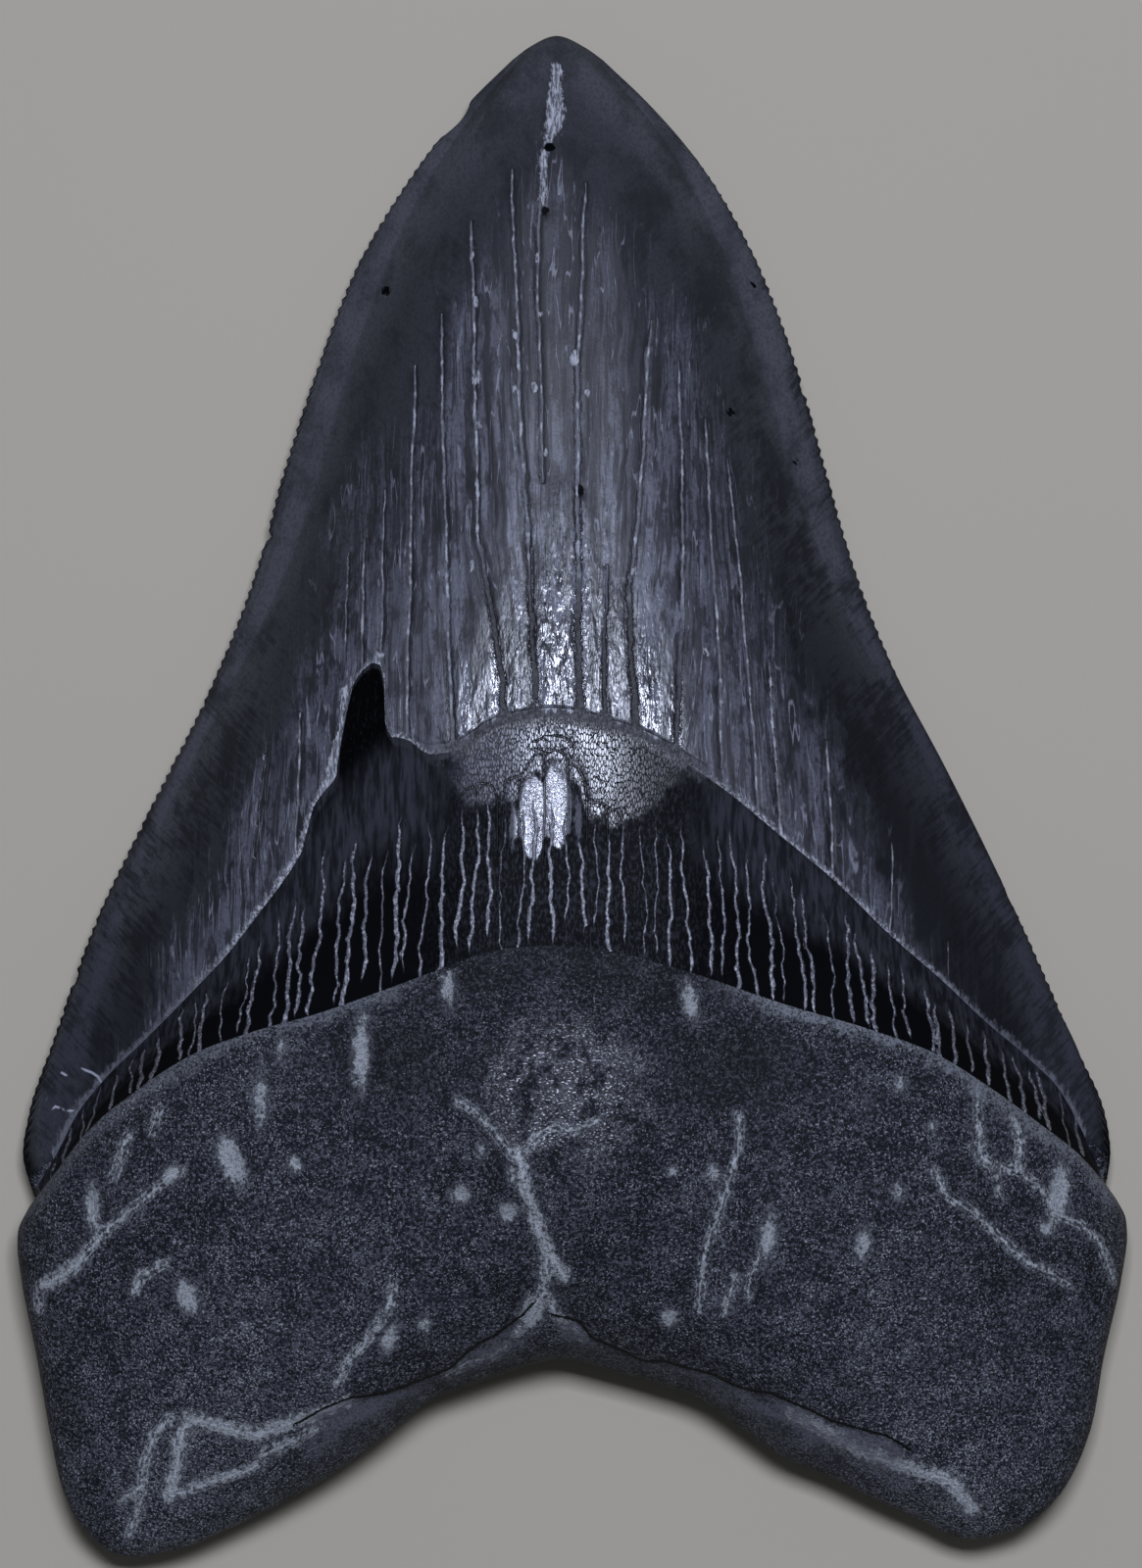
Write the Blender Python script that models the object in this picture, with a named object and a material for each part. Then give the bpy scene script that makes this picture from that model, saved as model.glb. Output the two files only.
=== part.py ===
"""Megalodon tooth: one fossil tooth, lying on its flatter (labial) face.

The tip points along +Y and the rounder (lingual) face looks up, +Z. Sizes in the tables are
millimetres; the mesh is in metres, with its origin under the middle of the tooth's box.

The tooth is a closed loft of two sheets that share one outline. Each sheet is three patches in a
row, tip to base: crown, bourlette (the dark band under the enamel) and root. A place on a sheet
is (u, v): u runs 0 to 1 from the left edge to the right, and v runs 0 to 1 down the crown, 1 to 2
down the bourlette and 2 to 3 down the root.
"""

import bmesh
import bpy
import numpy as np

MM = 0.001

# Outline of the tooth seen from above, (x, y).
TIP_ARC = ((-4.9, 59.95), (-3.5, 61.0), (-1.3, 61.92), (1.0, 61.0), (2.5, 59.95))
LEFT_CUTTING_EDGE = (
    (-4.9, 59.95), (-8.3, 56.6), (-13.3, 50.3), (-17.6, 43.1), (-21.0, 34.3), (-23.6, 26.3),
    (-25.8, 18.35), (-29.5, 8.8), (-34.3, -0.8), (-38.9, -10.4), (-42.3, -19.95),
    (-44.35, -26.3), (-44.75, -29.6), (-43.95, -32.4))
RIGHT_CUTTING_EDGE = (
    (2.5, 59.95), (6.3, 56.3), (11.3, 50.3), (15.3, 43.1), (18.55, 34.3), (20.8, 26.3),
    (23.1, 18.35), (26.9, 8.8), (31.9, -0.8), (36.6, -10.4), (40.8, -19.95),
    (43.5, -26.3), (43.85, -29.5), (43.5, -31.8))
LEFT_NOTCH = ((-43.95, -32.4), (-43.6, -32.95), (-44.05, -33.5))
RIGHT_NOTCH = ((43.5, -31.8), (43.55, -32.2), (44.1, -32.8))
LEFT_ROOT_SIDE = (
    (-44.05, -33.5), (-44.9, -35.3), (-44.97, -36.6), (-44.65, -39.1), (-43.4, -45.5),
    (-42.3, -51.9), (-41.2, -56.7), (-40.1, -59.05), (-38.9, -60.4))
RIGHT_ROOT_SIDE = (
    (44.1, -32.8), (44.85, -34.3), (44.97, -35.5), (44.5, -39.1), (43.1, -45.5),
    (41.9, -51.9), (40.6, -55.1), (39.7, -56.6), (38.4, -58.1))
BASE_CURVE = (
    (-38.9, -60.4), (-37.4, -61.5), (-35.4, -61.85), (-33.4, -61.6), (-31.4, -61.1),
    (-27.4, -59.4), (-23.4, -57.4), (-19.4, -55.1), (-15.4, -52.3), (-11.5, -49.2),
    (-7.5, -47.6), (-3.5, -46.3), (-1.0, -45.75), (2.5, -46.5), (6.5, -47.65),
    (10.5, -49.1), (13.6, -51.3), (16.5, -53.4), (20.5, -55.15), (24.5, -57.15),
    (28.5, -59.0), (30.7, -60.1), (32.6, -60.45), (34.6, -60.1), (36.6, -59.4), (38.4, -58.1))

# Lines across the lingual face, from the left edge to the right.
ENAMEL_LINE = (
    (-43.95, -32.4), (-42.2, -29.7), (-40.2, -25.9), (-38.3, -23.5), (-34.6, -19.9),
    (-30.6, -15.9), (-27.4, -12.5), (-25.0, -9.4), (-22.6, -6.2), (-20.4, -2.6), (-17.5, 0.6),
    (-13.8, 3.3), (-11.0, 3.2), (-8.6, 3.7), (-6.0, 5.3), (-3.5, 6.0), (-0.3, 6.1), (2.9, 5.3),
    (6.0, 4.2), (9.3, 2.3), (11.7, 0.7), (16.5, -3.2), (21.3, -7.2), (25.3, -11.1),
    (30.0, -15.2), (33.2, -18.2), (37.2, -21.6), (39.8, -24.3), (41.6, -27.6), (43.5, -31.8))
ROOT_LINE = (
    (-44.05, -33.5), (-41.8, -30.7), (-39.4, -27.6), (-34.6, -23.5), (-30.6, -20.9),
    (-25.8, -19.0), (-20.2, -17.4), (-14.6, -15.4), (-10.6, -13.9), (-6.7, -12.5),
    (-1.9, -12.0), (2.9, -12.4), (9.3, -14.1), (17.3, -16.8), (23.7, -18.7), (29.2, -20.8),
    (33.2, -23.3), (37.2, -26.2), (41.2, -29.4), (44.1, -32.8))

# Lines across the labial face, which has no bourlette: its enamel ends in a low step.
LABIAL_ENAMEL_LINE = (
    (-43.95, -32.4), (-36.0, -25.2), (-24.0, -18.6), (-12.0, -15.0), (0.0, -14.0),
    (12.0, -15.2), (24.0, -18.4), (36.0, -24.6), (43.5, -31.8))
LABIAL_ROOT_LINE = (
    (-44.05, -33.5), (-36.0, -26.6), (-24.0, -20.2), (-12.0, -16.7), (0.0, -15.8),
    (12.0, -16.8), (24.0, -19.9), (36.0, -26.0), (44.1, -32.8))

# Heights above the surface that the tooth rests on.
EDGE_HEIGHT = ((0.0, 3.6), (0.1, 3.7), (1.0, 4.6), (1.5, 5.6), (2.25, 7.8), (3.0, 7.0))   # (v, z)
LINGUAL_MIDLINE = (
    (-62.0, 15.8), (-52.0, 17.2), (-42.0, 19.0), (-30.0, 19.8), (-20.0, 19.4), (-12.0, 18.6),
    (-3.0, 18.0), (6.0, 17.4), (12.0, 16.6), (25.0, 14.3), (40.0, 11.2), (52.0, 8.0),
    (59.0, 5.6), (62.0, 4.4))                                                             # (y, z)
LABIAL_MIDLINE = (
    (-62.0, 0.9), (-40.0, 0.9), (-25.0, 1.2), (-15.0, 0.9), (-9.0, 0.2), (-2.0, -0.25),
    (12.0, -0.45), (26.0, -0.3), (34.0, 0.1), (46.0, 1.0), (56.0, 2.1), (62.0, 2.9))      # (y, z)
CROWN_HALF_WIDTH = ((-32.0, 43.9), (-20.0, 41.6), (0.0, 33.1), (18.0, 24.5), (43.0, 16.4),
                    (57.0, 6.8), (60.0, 3.7))                                             # (y, x)
MARGIN_WIDTH = 6.5          # flat border of the lingual crown along each cutting edge
MARGIN_EASE = 12.0          # added to the half width, so that the border narrows to the tip
MARGIN_SHARE = 0.42         # how much of the crown's height the border's slope gives
MIDDLE_SPREAD = 2.6         # the crown's middle, (1 - s^2.6)^1.15: flat, then steeper to its sides
MIDDLE_POWER = 1.15
ROOT_SHOULDER = 0.25        # how far the root falls towards its sides
LABIAL_SPREAD = 2.6         # the labial crown's section, (1 - s^2.6)^0.8
LABIAL_POWER = 0.8
SIDE_FADE = 6               # the steps fade at the sides by 1 - s^6
TIP_ROUNDING = 0.07         # v over which the tip rises from its edge
ROOT_ONSET = 1.35           # v below the enamel line over which the crown's section becomes the root's
LINGUAL_BASE_ROUNDING = 0.40    # v over which each sheet falls to the root's base
LABIAL_BASE_ROUNDING = 0.26

ENAMEL_STEP = 0.55          # drop from the enamel to the bourlette
ROOT_STEP = 0.4             # rise from the bourlette to the root
LABIAL_STEP = 0.35          # drop from the labial enamel to the root
STEP_V = 0.03               # width of each of these steps in v

# Flake missing from the enamel, left of the middle: it bares the bourlette up to the crown.
CHIP_RISE = ((-21.6, 0.0), (-20.3, 1.3), (-18.3, 1.6), (-17.8, 7.6), (-17.1, 8.0), (-16.2, 7.8),
             (-15.4, 7.0), (-14.5, 2.4), (-12.7, 0.8), (-11.3, 0.0))    # (x at the enamel line, rise)
CHIP_REACH = 0.5            # v above the enamel line over which the rows give way to the chip
CHIP_DEPTH = 0.35           # drop of the chip's floor under the bourlette's own step
CHIP_EDGE = 0.03            # v over which that floor dips

# Lumps and hollows, (x, y, half width, half length, height), each a smooth round swell.
LINGUAL_SWELLS = (
    (-0.7, -23.5, 11.0, 9.5, 4.4),      # boss in the middle of the root
    (-14.5, -21.0, 6.0, 5.0, -1.1),     # hollows beside it
    (13.5, -21.5, 6.0, 5.0, -1.2),
    (-4.6, -30.5, 3.2, 2.6, 0.7),       # knobs under the boss
    (3.8, -32.0, 3.4, 3.0, 0.8),
    (-28.0, -33.0, 7.0, 8.0, 0.9),      # swell of each lobe
    (28.5, -32.0, 7.0, 8.0, 0.9),
    (-24.0, -48.5, 6.0, 4.0, 0.6),
    (22.0, -45.5, 7.0, 4.0, 0.5),
    (-37.5, -44.0, 3.2, 9.0, -0.7),     # worn flanks
    (38.0, -43.0, 3.0, 8.0, -0.6),
    (-17.2, -24.0, 0.9, 3.0, -0.6),     # long pits
    (-25.4, -24.9, 0.8, 2.0, -0.5),
    (-27.7, -30.0, 1.1, 2.2, -0.6),
    (9.6, -17.0, 0.8, 1.6, -0.5),
    (23.7, -36.6, 0.8, 1.6, -0.5),
    (15.9, -36.0, 0.9, 2.2, -0.5),
    (-9.0, -32.7, 1.1, 1.1, -0.5),
    (-5.2, -34.2, 1.0, 1.0, -0.5),
    (-39.1, -33.6, 0.8, 2.2, -0.5),
    (39.6, -32.8, 1.2, 2.6, -0.5))
LABIAL_SWELLS = (
    (-22.0, -43.0, 9.0, 8.0, -2.2),     # each lobe's resting pad
    (22.0, -42.0, 9.0, 8.0, -2.2),
    (0.0, -31.0, 5.0, 7.0, 0.9),        # hollow between the lobes
    (-11.0, -24.0, 3.5, 2.5, 0.5),
    (12.0, -25.5, 3.0, 3.0, 0.5))

# Serrations: one every 0.9 mm along each cutting edge of 106 mm.
SERRATIONS = 118
SERRATION_DEPTH = 0.2
SERRATION_WEAR = (0.55, 1.15)   # share of that depth left at each serration, least and most
WORN_TIP = 0.05             # v over which they fade in below the worn tip
WORN_CORNER = 0.02          # v over which they fade out at the crown's corner
WEAR_SEED = 7
EDGE_NICKS = (("left", 54.9, 1.1, 0.7), ("left", 21.0, 0.9, 0.25), ("right", 33.0, 0.8, 0.2),
              ("right", -8.5, 1.0, 0.25), ("left", -15.0, 0.8, 0.2))    # (edge, y, half length, depth)

# How finely each sheet is divided.
LINGUAL_CROWN_ROWS = 40
LINGUAL_ROOT_ROWS = 26
LINGUAL_COLUMNS = 40
LABIAL_CROWN_ROWS = 30
LABIAL_ROOT_ROWS = 16
LABIAL_COLUMNS = 18
SIDE_COLUMN = 0.008         # u of the column that rounds each side
COLUMN_GAP = 0.006          # least u between an even column and one of the chip's
BAND_ROWS = (1.16, 1.33, 1.5, 1.67, 1.84)
NOTCH_MIDDLE = 1.5
LENGTH_SAMPLES = 1200       # for measuring a curved line's length
V_NUDGE = 0.0001            # v between the two points that give a side line's direction
ROOT_SIDE_STEPS = 26
TIP_STEPS = 16

COLOUR = (0.026, 0.027, 0.033, 1.0)
ROUGHNESS = 0.45


def curve_through(knots, values, at):
    """Cubic Hermite curve through values at knots, its slope at a knot averaged from both sides."""
    knots = np.asarray(knots, float)
    values = np.asarray(values, float)
    slopes = np.gradient(values, knots, axis=0)
    cell = np.clip(np.searchsorted(knots, at, side="right") - 1, 0, len(knots) - 2)
    width = knots[cell + 1] - knots[cell]
    t = (np.asarray(at, float) - knots[cell]) / width
    if values.ndim > 1:
        width, t = width[..., None], t[..., None]
    start = (1 + 2 * t) * (1 - t) ** 2 * values[cell] + t * (1 - t) ** 2 * width * slopes[cell]
    end = t * t * (3 - 2 * t) * values[cell + 1] + t * t * (t - 1) * width * slopes[cell + 1]
    return start + end


def profile(table, at):
    """Read a smooth height or width table, (place, value), at the given places."""
    places, values = np.array(table, float).T
    return curve_through(places, values, np.clip(at, places[0], places[-1]))


def along(points, share):
    """Points of the smooth line through the outline points, at shares of its length."""
    points = np.array(points, float)
    chords = np.concatenate(([0.0], np.cumsum(np.hypot(*np.diff(points, axis=0).T))))
    fine = np.linspace(0.0, chords[-1], LENGTH_SAMPLES)
    line = curve_through(chords, points, fine)
    length = np.concatenate(([0.0], np.cumsum(np.hypot(*np.diff(line, axis=0).T))))
    place = np.interp(np.asarray(share) * length[-1], length, fine)
    return curve_through(chords, points, place)


def across(points, u):
    """Points of a line across the tooth: x evenly with u, y read from the line."""
    x, y = np.array(points, float).T
    at = x[0] + u * (x[-1] - x[0])
    return np.stack([at, curve_through(x, y, at)], axis=-1)


def side_line(cutting_edge, notch, root_side, v):
    """Left or right outline at v: its cutting edge, then its notch, then its root side."""
    crown = along(cutting_edge, np.clip(v, 0, 1))
    band = along(notch, np.clip(v - 1, 0, 1))
    root = along(root_side, np.clip(v - 2, 0, 1))
    v = np.asarray(v)[..., None]
    return np.where(v <= 1, crown, np.where(v <= 2, band, root))


def left_line(v):
    return side_line(LEFT_CUTTING_EDGE, LEFT_NOTCH, LEFT_ROOT_SIDE, v)


def right_line(v):
    return side_line(RIGHT_CUTTING_EDGE, RIGHT_NOTCH, RIGHT_ROOT_SIDE, v)


def sheet_plan(u, v, lines):
    """Coons patch in (x, y) at every u, one a column, and v, a grid: the row lines blended down
    the tooth, plus the side lines blended across it, less the blend of the patch's four corners.
    lines are the sheet's enamel line and root line."""
    rows = np.stack([along(TIP_ARC, u), across(lines[0], u), across(lines[1], u), across(BASE_CURVE, u)])
    ends = np.stack([left_line(np.arange(4.0)), right_line(np.arange(4.0))])
    patch = np.clip(v.astype(int), 0, 2)
    column = np.arange(len(u))[None, :]
    w = (v - patch)[..., None]
    s = u[None, :, None]
    down = (1 - w) * rows[patch, column] + w * rows[patch + 1, column]
    over = (1 - s) * left_line(v) + s * right_line(v)
    corners = ((1 - w) * ((1 - s) * ends[0][patch] + s * ends[1][patch])
               + w * ((1 - s) * ends[0][patch + 1] + s * ends[1][patch + 1]))
    return down + over - corners


def around_chip(u, v):
    """Where each row runs, in v, once it gives way to the chip: by the chip's whole rise at the
    enamel line, and by nothing CHIP_REACH above it and at the root line."""
    x, y = across(ENAMEL_LINE, u).T
    rise = np.interp(x, *np.array(CHIP_RISE).T) / (TIP_ARC[0][1] - y)
    above = np.clip((v - 1 + CHIP_REACH) / CHIP_REACH, 0, 1)
    below = np.clip(2 - v, 0, 1)
    return v[:, None] - np.minimum(above, below)[:, None] * rise[None, :]


def straight(u, v):
    """Rows with nothing in their way."""
    return np.repeat(v[:, None], len(u), axis=1)


def swells(table, x, y):
    """Sum of round swells: height times exp(-(dx^2 + dy^2)), each measured in its half sizes."""
    total = np.zeros_like(x)
    for centre_x, centre_y, half_x, half_y, height in table:
        total += height * np.exp(-((x - centre_x) / half_x) ** 2 - ((y - centre_y) / half_y) ** 2)
    return total


def smooth_step(value):
    """0 below 0, 1 above 1, and 3t^2 - 2t^3 between."""
    t = np.clip(value, 0, 1)
    return t * t * (3 - 2 * t)


def tip_and_base_rounding(v, reach):
    """Quarter circles that bring a sheet down to its edge at the tip and, over reach, at the base."""
    tip = np.sqrt(1 - (1 - np.clip(v / TIP_ROUNDING, 0, 1)) ** 2)
    base = np.sqrt(1 - np.clip((v - 3 + reach) / reach, 0, 1) ** 2)
    return tip * base


def lingual_height(u, v, x, y, place):
    """Height of the upper sheet: edge height, plus the midline's height over it times a profile
    across the tooth, where s is 0 at the middle and 1 at the sides. On the crown that profile is a
    shallow border and a rounded middle, and on the root a broad round, (1 - s^4)^0.5 easing down to
    the sides. v counts the rows and place is where they run, which differs around the chip."""
    s = np.abs(2 * u - 1)[None, :]
    inner = 1 - MARGIN_WIDTH / (profile(CROWN_HALF_WIDTH, y) + MARGIN_EASE)
    middle = np.clip(1 - (s / inner) ** MIDDLE_SPREAD, 0, 1) ** MIDDLE_POWER
    crown = MARGIN_SHARE * (1 - s * s) + (1 - MARGIN_SHARE) * middle
    root = np.sqrt(1 - s ** 4) * (1 - ROOT_SHOULDER * s * s)
    share = smooth_step((place - 1) / ROOT_ONSET)
    across_profile = (1 - share) * crown + share * root
    edge = np.interp(place, *np.array(EDGE_HEIGHT).T)
    rise = profile(LINGUAL_MIDLINE, y) + swells(LINGUAL_SWELLS, x, y) - edge
    body = edge + rise * across_profile * tip_and_base_rounding(place, LINGUAL_BASE_ROUNDING)
    past_enamel = np.clip((v[:, None] - 1) / STEP_V, 0, 1)
    past_root_line = np.clip((v[:, None] - 2) / STEP_V, 0, 1)
    step = ROOT_STEP * past_root_line * (3 - place) - ENAMEL_STEP * past_enamel * np.clip(2 - place, 0, 1)
    chip = CHIP_DEPTH * past_enamel * smooth_step((1 - place) / CHIP_EDGE)
    return body + (1 - s ** SIDE_FADE) * step - chip


def labial_height(u, v, x, y, place):
    """Height of the lower sheet: edge height, less its drop to the labial midline times a profile
    across the tooth, (1 - s^2.6)^0.8 on the crown and (1 - s^4)^0.5 on the root. What would reach
    below the resting plane is cut off flat there."""
    s = np.abs(2 * u - 1)[None, :]
    edge = np.interp(place, *np.array(EDGE_HEIGHT).T)
    share = smooth_step((place - 1) / ROOT_ONSET)
    crown = (1 - s ** LABIAL_SPREAD) ** LABIAL_POWER
    across_profile = (1 - share) * crown + share * np.sqrt(1 - s ** 4)
    drop = (edge - profile(LABIAL_MIDLINE, y)) * across_profile
    body = edge - drop * tip_and_base_rounding(place, LABIAL_BASE_ROUNDING)
    past_enamel = np.clip((v[:, None] - 1) / STEP_V, 0, 1)
    step = LABIAL_STEP * past_enamel * np.clip(3 - place, 0, 1) * (1 - s ** SIDE_FADE)
    return np.maximum(body + step + swells(LABIAL_SWELLS, x, y), 0.0)


def inward(line, v):
    """Unit vectors square to a side line, pointing into the tooth (given at the left side)."""
    run = line(np.minimum(v + V_NUDGE, 1 - V_NUDGE)) - line(np.maximum(v - V_NUDGE, 0.0))
    run /= np.hypot(*run.T)[:, None]
    return np.stack([-run[:, 1], run[:, 0]], axis=1)


def cutting_edge(name, line, facing):
    """One serrated edge: every second point is drawn in by the serration depth, which varies a
    little and fades at the tip and at the crown's corner. Nicks draw in all their points."""
    v = np.arange(1, 2 * SERRATIONS) / (2 * SERRATIONS)
    wear = np.random.default_rng(WEAR_SEED).uniform(*SERRATION_WEAR, len(v))
    fade = np.clip((v - WORN_TIP) / WORN_TIP, 0, 1) * np.clip((1 - v) / WORN_CORNER, 0, 1)
    depth = SERRATION_DEPTH * wear * fade * (np.arange(len(v)) % 2)
    points = line(v)
    for side, centre, half_length, nick in EDGE_NICKS:
        if side == name:
            bite = np.clip(1 - np.abs(points[:, 1] - centre) / half_length, 0, 1)
            depth += nick * np.sqrt(bite)
    return v, points + facing * inward(line, v) * depth[:, None]


def outline_loop(columns):
    """The shared outline, clockwise from the left end of the tip arc: its points and how far
    round each one is, 0 to 4 (tip, right side, base, left side)."""
    notch_and_root = np.concatenate(([1.0, NOTCH_MIDDLE], 2 + np.arange(ROOT_SIDE_STEPS) / ROOT_SIDE_STEPS))
    left_v, left = cutting_edge("left", left_line, 1)
    right_v, right = cutting_edge("right", right_line, -1)
    tip_u = np.linspace(0, 1, TIP_STEPS + 1)
    v = [np.zeros(len(tip_u)), right_v, notch_and_root, np.full(len(columns), 3.0),
         notch_and_root[::-1], left_v[::-1]]
    points = [along(TIP_ARC, tip_u), right, right_line(notch_and_root),
              across(BASE_CURVE, columns[::-1]), left_line(notch_and_root)[::-1], left[::-1]]
    turn = [tip_u, 1 + right_v / 3, 1 + notch_and_root / 3, 3 - columns[::-1],
            4 - notch_and_root[::-1] / 3, 4 - left_v[::-1] / 3]
    v = np.concatenate(v)
    height = np.interp(v, *np.array(EDGE_HEIGHT).T)
    return np.column_stack([np.concatenate(points), height]), np.concatenate(turn)


def grid_rim(u, v):
    """Indices round a grid's rim, clockwise from its first corner, and their turn 0 to 4."""
    rows, columns = len(v), len(u)
    index = np.arange(rows * columns).reshape(rows, columns)
    loop = np.concatenate([index[0, :-1], index[:-1, -1], index[-1, :0:-1], index[:0:-1, 0]])
    turn = np.concatenate([u[:-1], 1 + v[:-1] / 3, 3 - u[:0:-1], 4 - v[:0:-1] / 3])
    return loop, turn


def grid_faces(rows, columns, offset):
    """Two triangles for each cell of a grid of points."""
    index = np.arange(rows * columns).reshape(rows, columns) + offset
    a, b = index[:-1, :-1].ravel(), index[:-1, 1:].ravel()
    c, d = index[1:, 1:].ravel(), index[1:, :-1].ravel()
    return np.concatenate([np.column_stack([a, d, c]), np.column_stack([a, c, b])])


def zip_faces(outer, outer_turn, inner, inner_turn):
    """Triangles between two closed loops of unlike counts: each step of either loop is joined to
    the point that the other loop has reached at the middle of that step."""
    outer, inner = np.append(outer, outer[0]), np.append(inner, inner[0])
    outer_middle = (outer_turn + np.append(outer_turn[1:], 4.0)) / 2
    inner_middle = (inner_turn + np.append(inner_turn[1:], 4.0)) / 2
    reached_inner = np.searchsorted(inner_middle, outer_middle, side="left")
    reached_outer = np.searchsorted(outer_middle, inner_middle, side="right")
    wide = np.column_stack([outer[1:], outer[:-1], inner[reached_inner]])
    narrow = np.column_stack([inner[:-1], inner[1:], outer[reached_outer]])
    return np.concatenate([wide, narrow])


def sheet(u, v, lines, height, run, outer, outer_turn, offset):
    """One sheet inside the outline: its points and its triangles, zipped to the outline."""
    place = run(u, v)
    plan = sheet_plan(u, place, lines)
    z = height(u, v, plan[..., 0], plan[..., 1], place)
    points = np.concatenate([plan, z[..., None]], axis=-1).reshape(-1, 3)
    loop, turn = grid_rim(u, v)
    faces = np.concatenate([grid_faces(len(v), len(u), offset),
                            zip_faces(outer, outer_turn, loop + offset, turn)])
    return points, faces


def even_columns(count):
    """Even columns inside the outline, and one more close to each side to round it."""
    return np.concatenate([[SIDE_COLUMN], np.linspace(0, 1, count + 1)[1:-1], [1 - SIDE_COLUMN]])


def root_rows(count):
    """Rows down the root, closer and closer towards the base: a quarter sine."""
    return 2 + STEP_V + (1 - STEP_V) * np.sin(np.linspace(0, np.pi / 2, count + 1)[:-1])


def lingual_columns():
    """Even columns, with more where the chip's sides stand."""
    even = even_columns(LINGUAL_COLUMNS)
    left, right = ENAMEL_LINE[0][0], ENAMEL_LINE[-1][0]
    chip = (np.array(CHIP_RISE)[:, 0] - left) / (right - left)
    clear = np.abs(even[:, None] - chip[None, :]).min(axis=1) > COLUMN_GAP
    return np.sort(np.concatenate([even[clear], chip]))


def tooth_mesh():
    """Points and triangles of the whole tooth, in millimetres."""
    upper_u = lingual_columns()
    upper_v = np.concatenate([
        np.linspace(0, 1, LINGUAL_CROWN_ROWS + 1)[1:], [1 + STEP_V], BAND_ROWS,
        [2.0], root_rows(LINGUAL_ROOT_ROWS)])
    lower_u = even_columns(LABIAL_COLUMNS)
    lower_v = np.concatenate([
        np.linspace(0, 1, LABIAL_CROWN_ROWS + 1)[1:], [1 + STEP_V, 2.0], root_rows(LABIAL_ROOT_ROWS)])
    rim_u = np.concatenate([[0.0], upper_u, [1.0]])
    rim, rim_turn = outline_loop(rim_u)
    rim_index = np.arange(len(rim))
    upper, upper_faces = sheet(upper_u, upper_v, (ENAMEL_LINE, ROOT_LINE), lingual_height,
                               around_chip, rim_index, rim_turn, len(rim))
    lower, lower_faces = sheet(lower_u, lower_v, (LABIAL_ENAMEL_LINE, LABIAL_ROOT_LINE), labial_height,
                               straight, rim_index, rim_turn, len(rim) + len(upper))
    points = np.concatenate([rim, upper, lower])
    middle = (points.min(axis=0) + points.max(axis=0)) / 2
    points -= (middle[0], middle[1], points[:, 2].min())
    return points, np.concatenate([upper_faces, lower_faces[:, ::-1]])


def fossil_material():
    """Blue-black fossil enamel and bone."""
    material = bpy.data.materials.new("fossil enamel")
    material.use_nodes = True
    shader = material.node_tree.nodes["Principled BSDF"]
    shader.inputs["Base Color"].default_value = COLOUR
    shader.inputs["Roughness"].default_value = ROUGHNESS
    shader.inputs["Metallic"].default_value = 0.0
    material.diffuse_color = COLOUR
    return material


def build():
    for old in list(bpy.data.objects):
        bpy.data.objects.remove(old, do_unlink=True)
    points, faces = tooth_mesh()
    mesh = bpy.data.meshes.new("tooth")
    mesh.from_pydata((points * MM).tolist(), [], faces.tolist())
    solid = bmesh.new()
    solid.from_mesh(mesh)
    bmesh.ops.recalc_face_normals(solid, faces=solid.faces)
    solid.to_mesh(mesh)
    solid.free()
    mesh.materials.append(fossil_material())
    tooth = bpy.data.objects.new("tooth", mesh)
    collection = bpy.data.collections.new("megalodon tooth")
    bpy.context.scene.collection.children.link(collection)
    collection.objects.link(tooth)


build()
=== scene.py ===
"""Megalodon tooth: the dressed surface of one fossil tooth, lying with its lingual face up.

The tooth is one closed surface in millimetres, with the tip along +Y and the lingual face up,
+Z. A place on it is (u, v): u runs 0 to 1 from the left edge to the right, and v runs 0 to 1 down
the crown, 1 to 2 down the bourlette (the dark band under the enamel) and 2 to 3 down the root.
Marks that follow the fossil's own lines, such as cracks, mineral veins and the comb of ridges on
the bourlette, are worked out as distances in millimetres and kept as point attributes, and the
materials draw them from there.
"""

from types import SimpleNamespace

import bpy
import numpy as np
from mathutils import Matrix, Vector


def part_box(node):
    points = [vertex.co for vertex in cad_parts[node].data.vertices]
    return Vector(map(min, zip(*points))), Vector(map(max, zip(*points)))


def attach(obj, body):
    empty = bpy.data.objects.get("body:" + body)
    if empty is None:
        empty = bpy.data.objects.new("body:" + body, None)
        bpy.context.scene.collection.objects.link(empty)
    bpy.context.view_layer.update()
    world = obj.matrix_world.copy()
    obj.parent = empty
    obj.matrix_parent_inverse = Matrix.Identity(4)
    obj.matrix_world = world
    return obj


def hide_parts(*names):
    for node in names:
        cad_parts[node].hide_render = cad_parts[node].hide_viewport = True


MM = 0.001

# Camera, straight above the tooth, in metres but for the lens and sensor in millimetres.
VIEW_HEIGHT = 0.1277        # height that the camera takes in at the outline's plane
OUTLINE_PLANE = 0.005
LENS, SENSOR = 150.0, 36.0
VIEW_CENTRE = (-0.0001, 0.0008)

# Outline of the tooth seen from above, (x, y).
TIP_ARC = ((-4.9, 59.95), (-3.5, 61.0), (-1.3, 61.92), (1.0, 61.0), (2.5, 59.95))
LEFT_CUTTING_EDGE = (
    (-4.9, 59.95), (-8.3, 56.6), (-13.3, 50.3), (-17.6, 43.1), (-21.0, 34.3), (-23.6, 26.3),
    (-25.8, 18.35), (-29.5, 8.8), (-34.3, -0.8), (-38.9, -10.4), (-42.3, -19.95),
    (-44.35, -26.3), (-44.75, -29.6), (-43.95, -32.4))
RIGHT_CUTTING_EDGE = (
    (2.5, 59.95), (6.3, 56.3), (11.3, 50.3), (15.3, 43.1), (18.55, 34.3), (20.8, 26.3),
    (23.1, 18.35), (26.9, 8.8), (31.9, -0.8), (36.6, -10.4), (40.8, -19.95),
    (43.5, -26.3), (43.85, -29.5), (43.5, -31.8))
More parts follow.
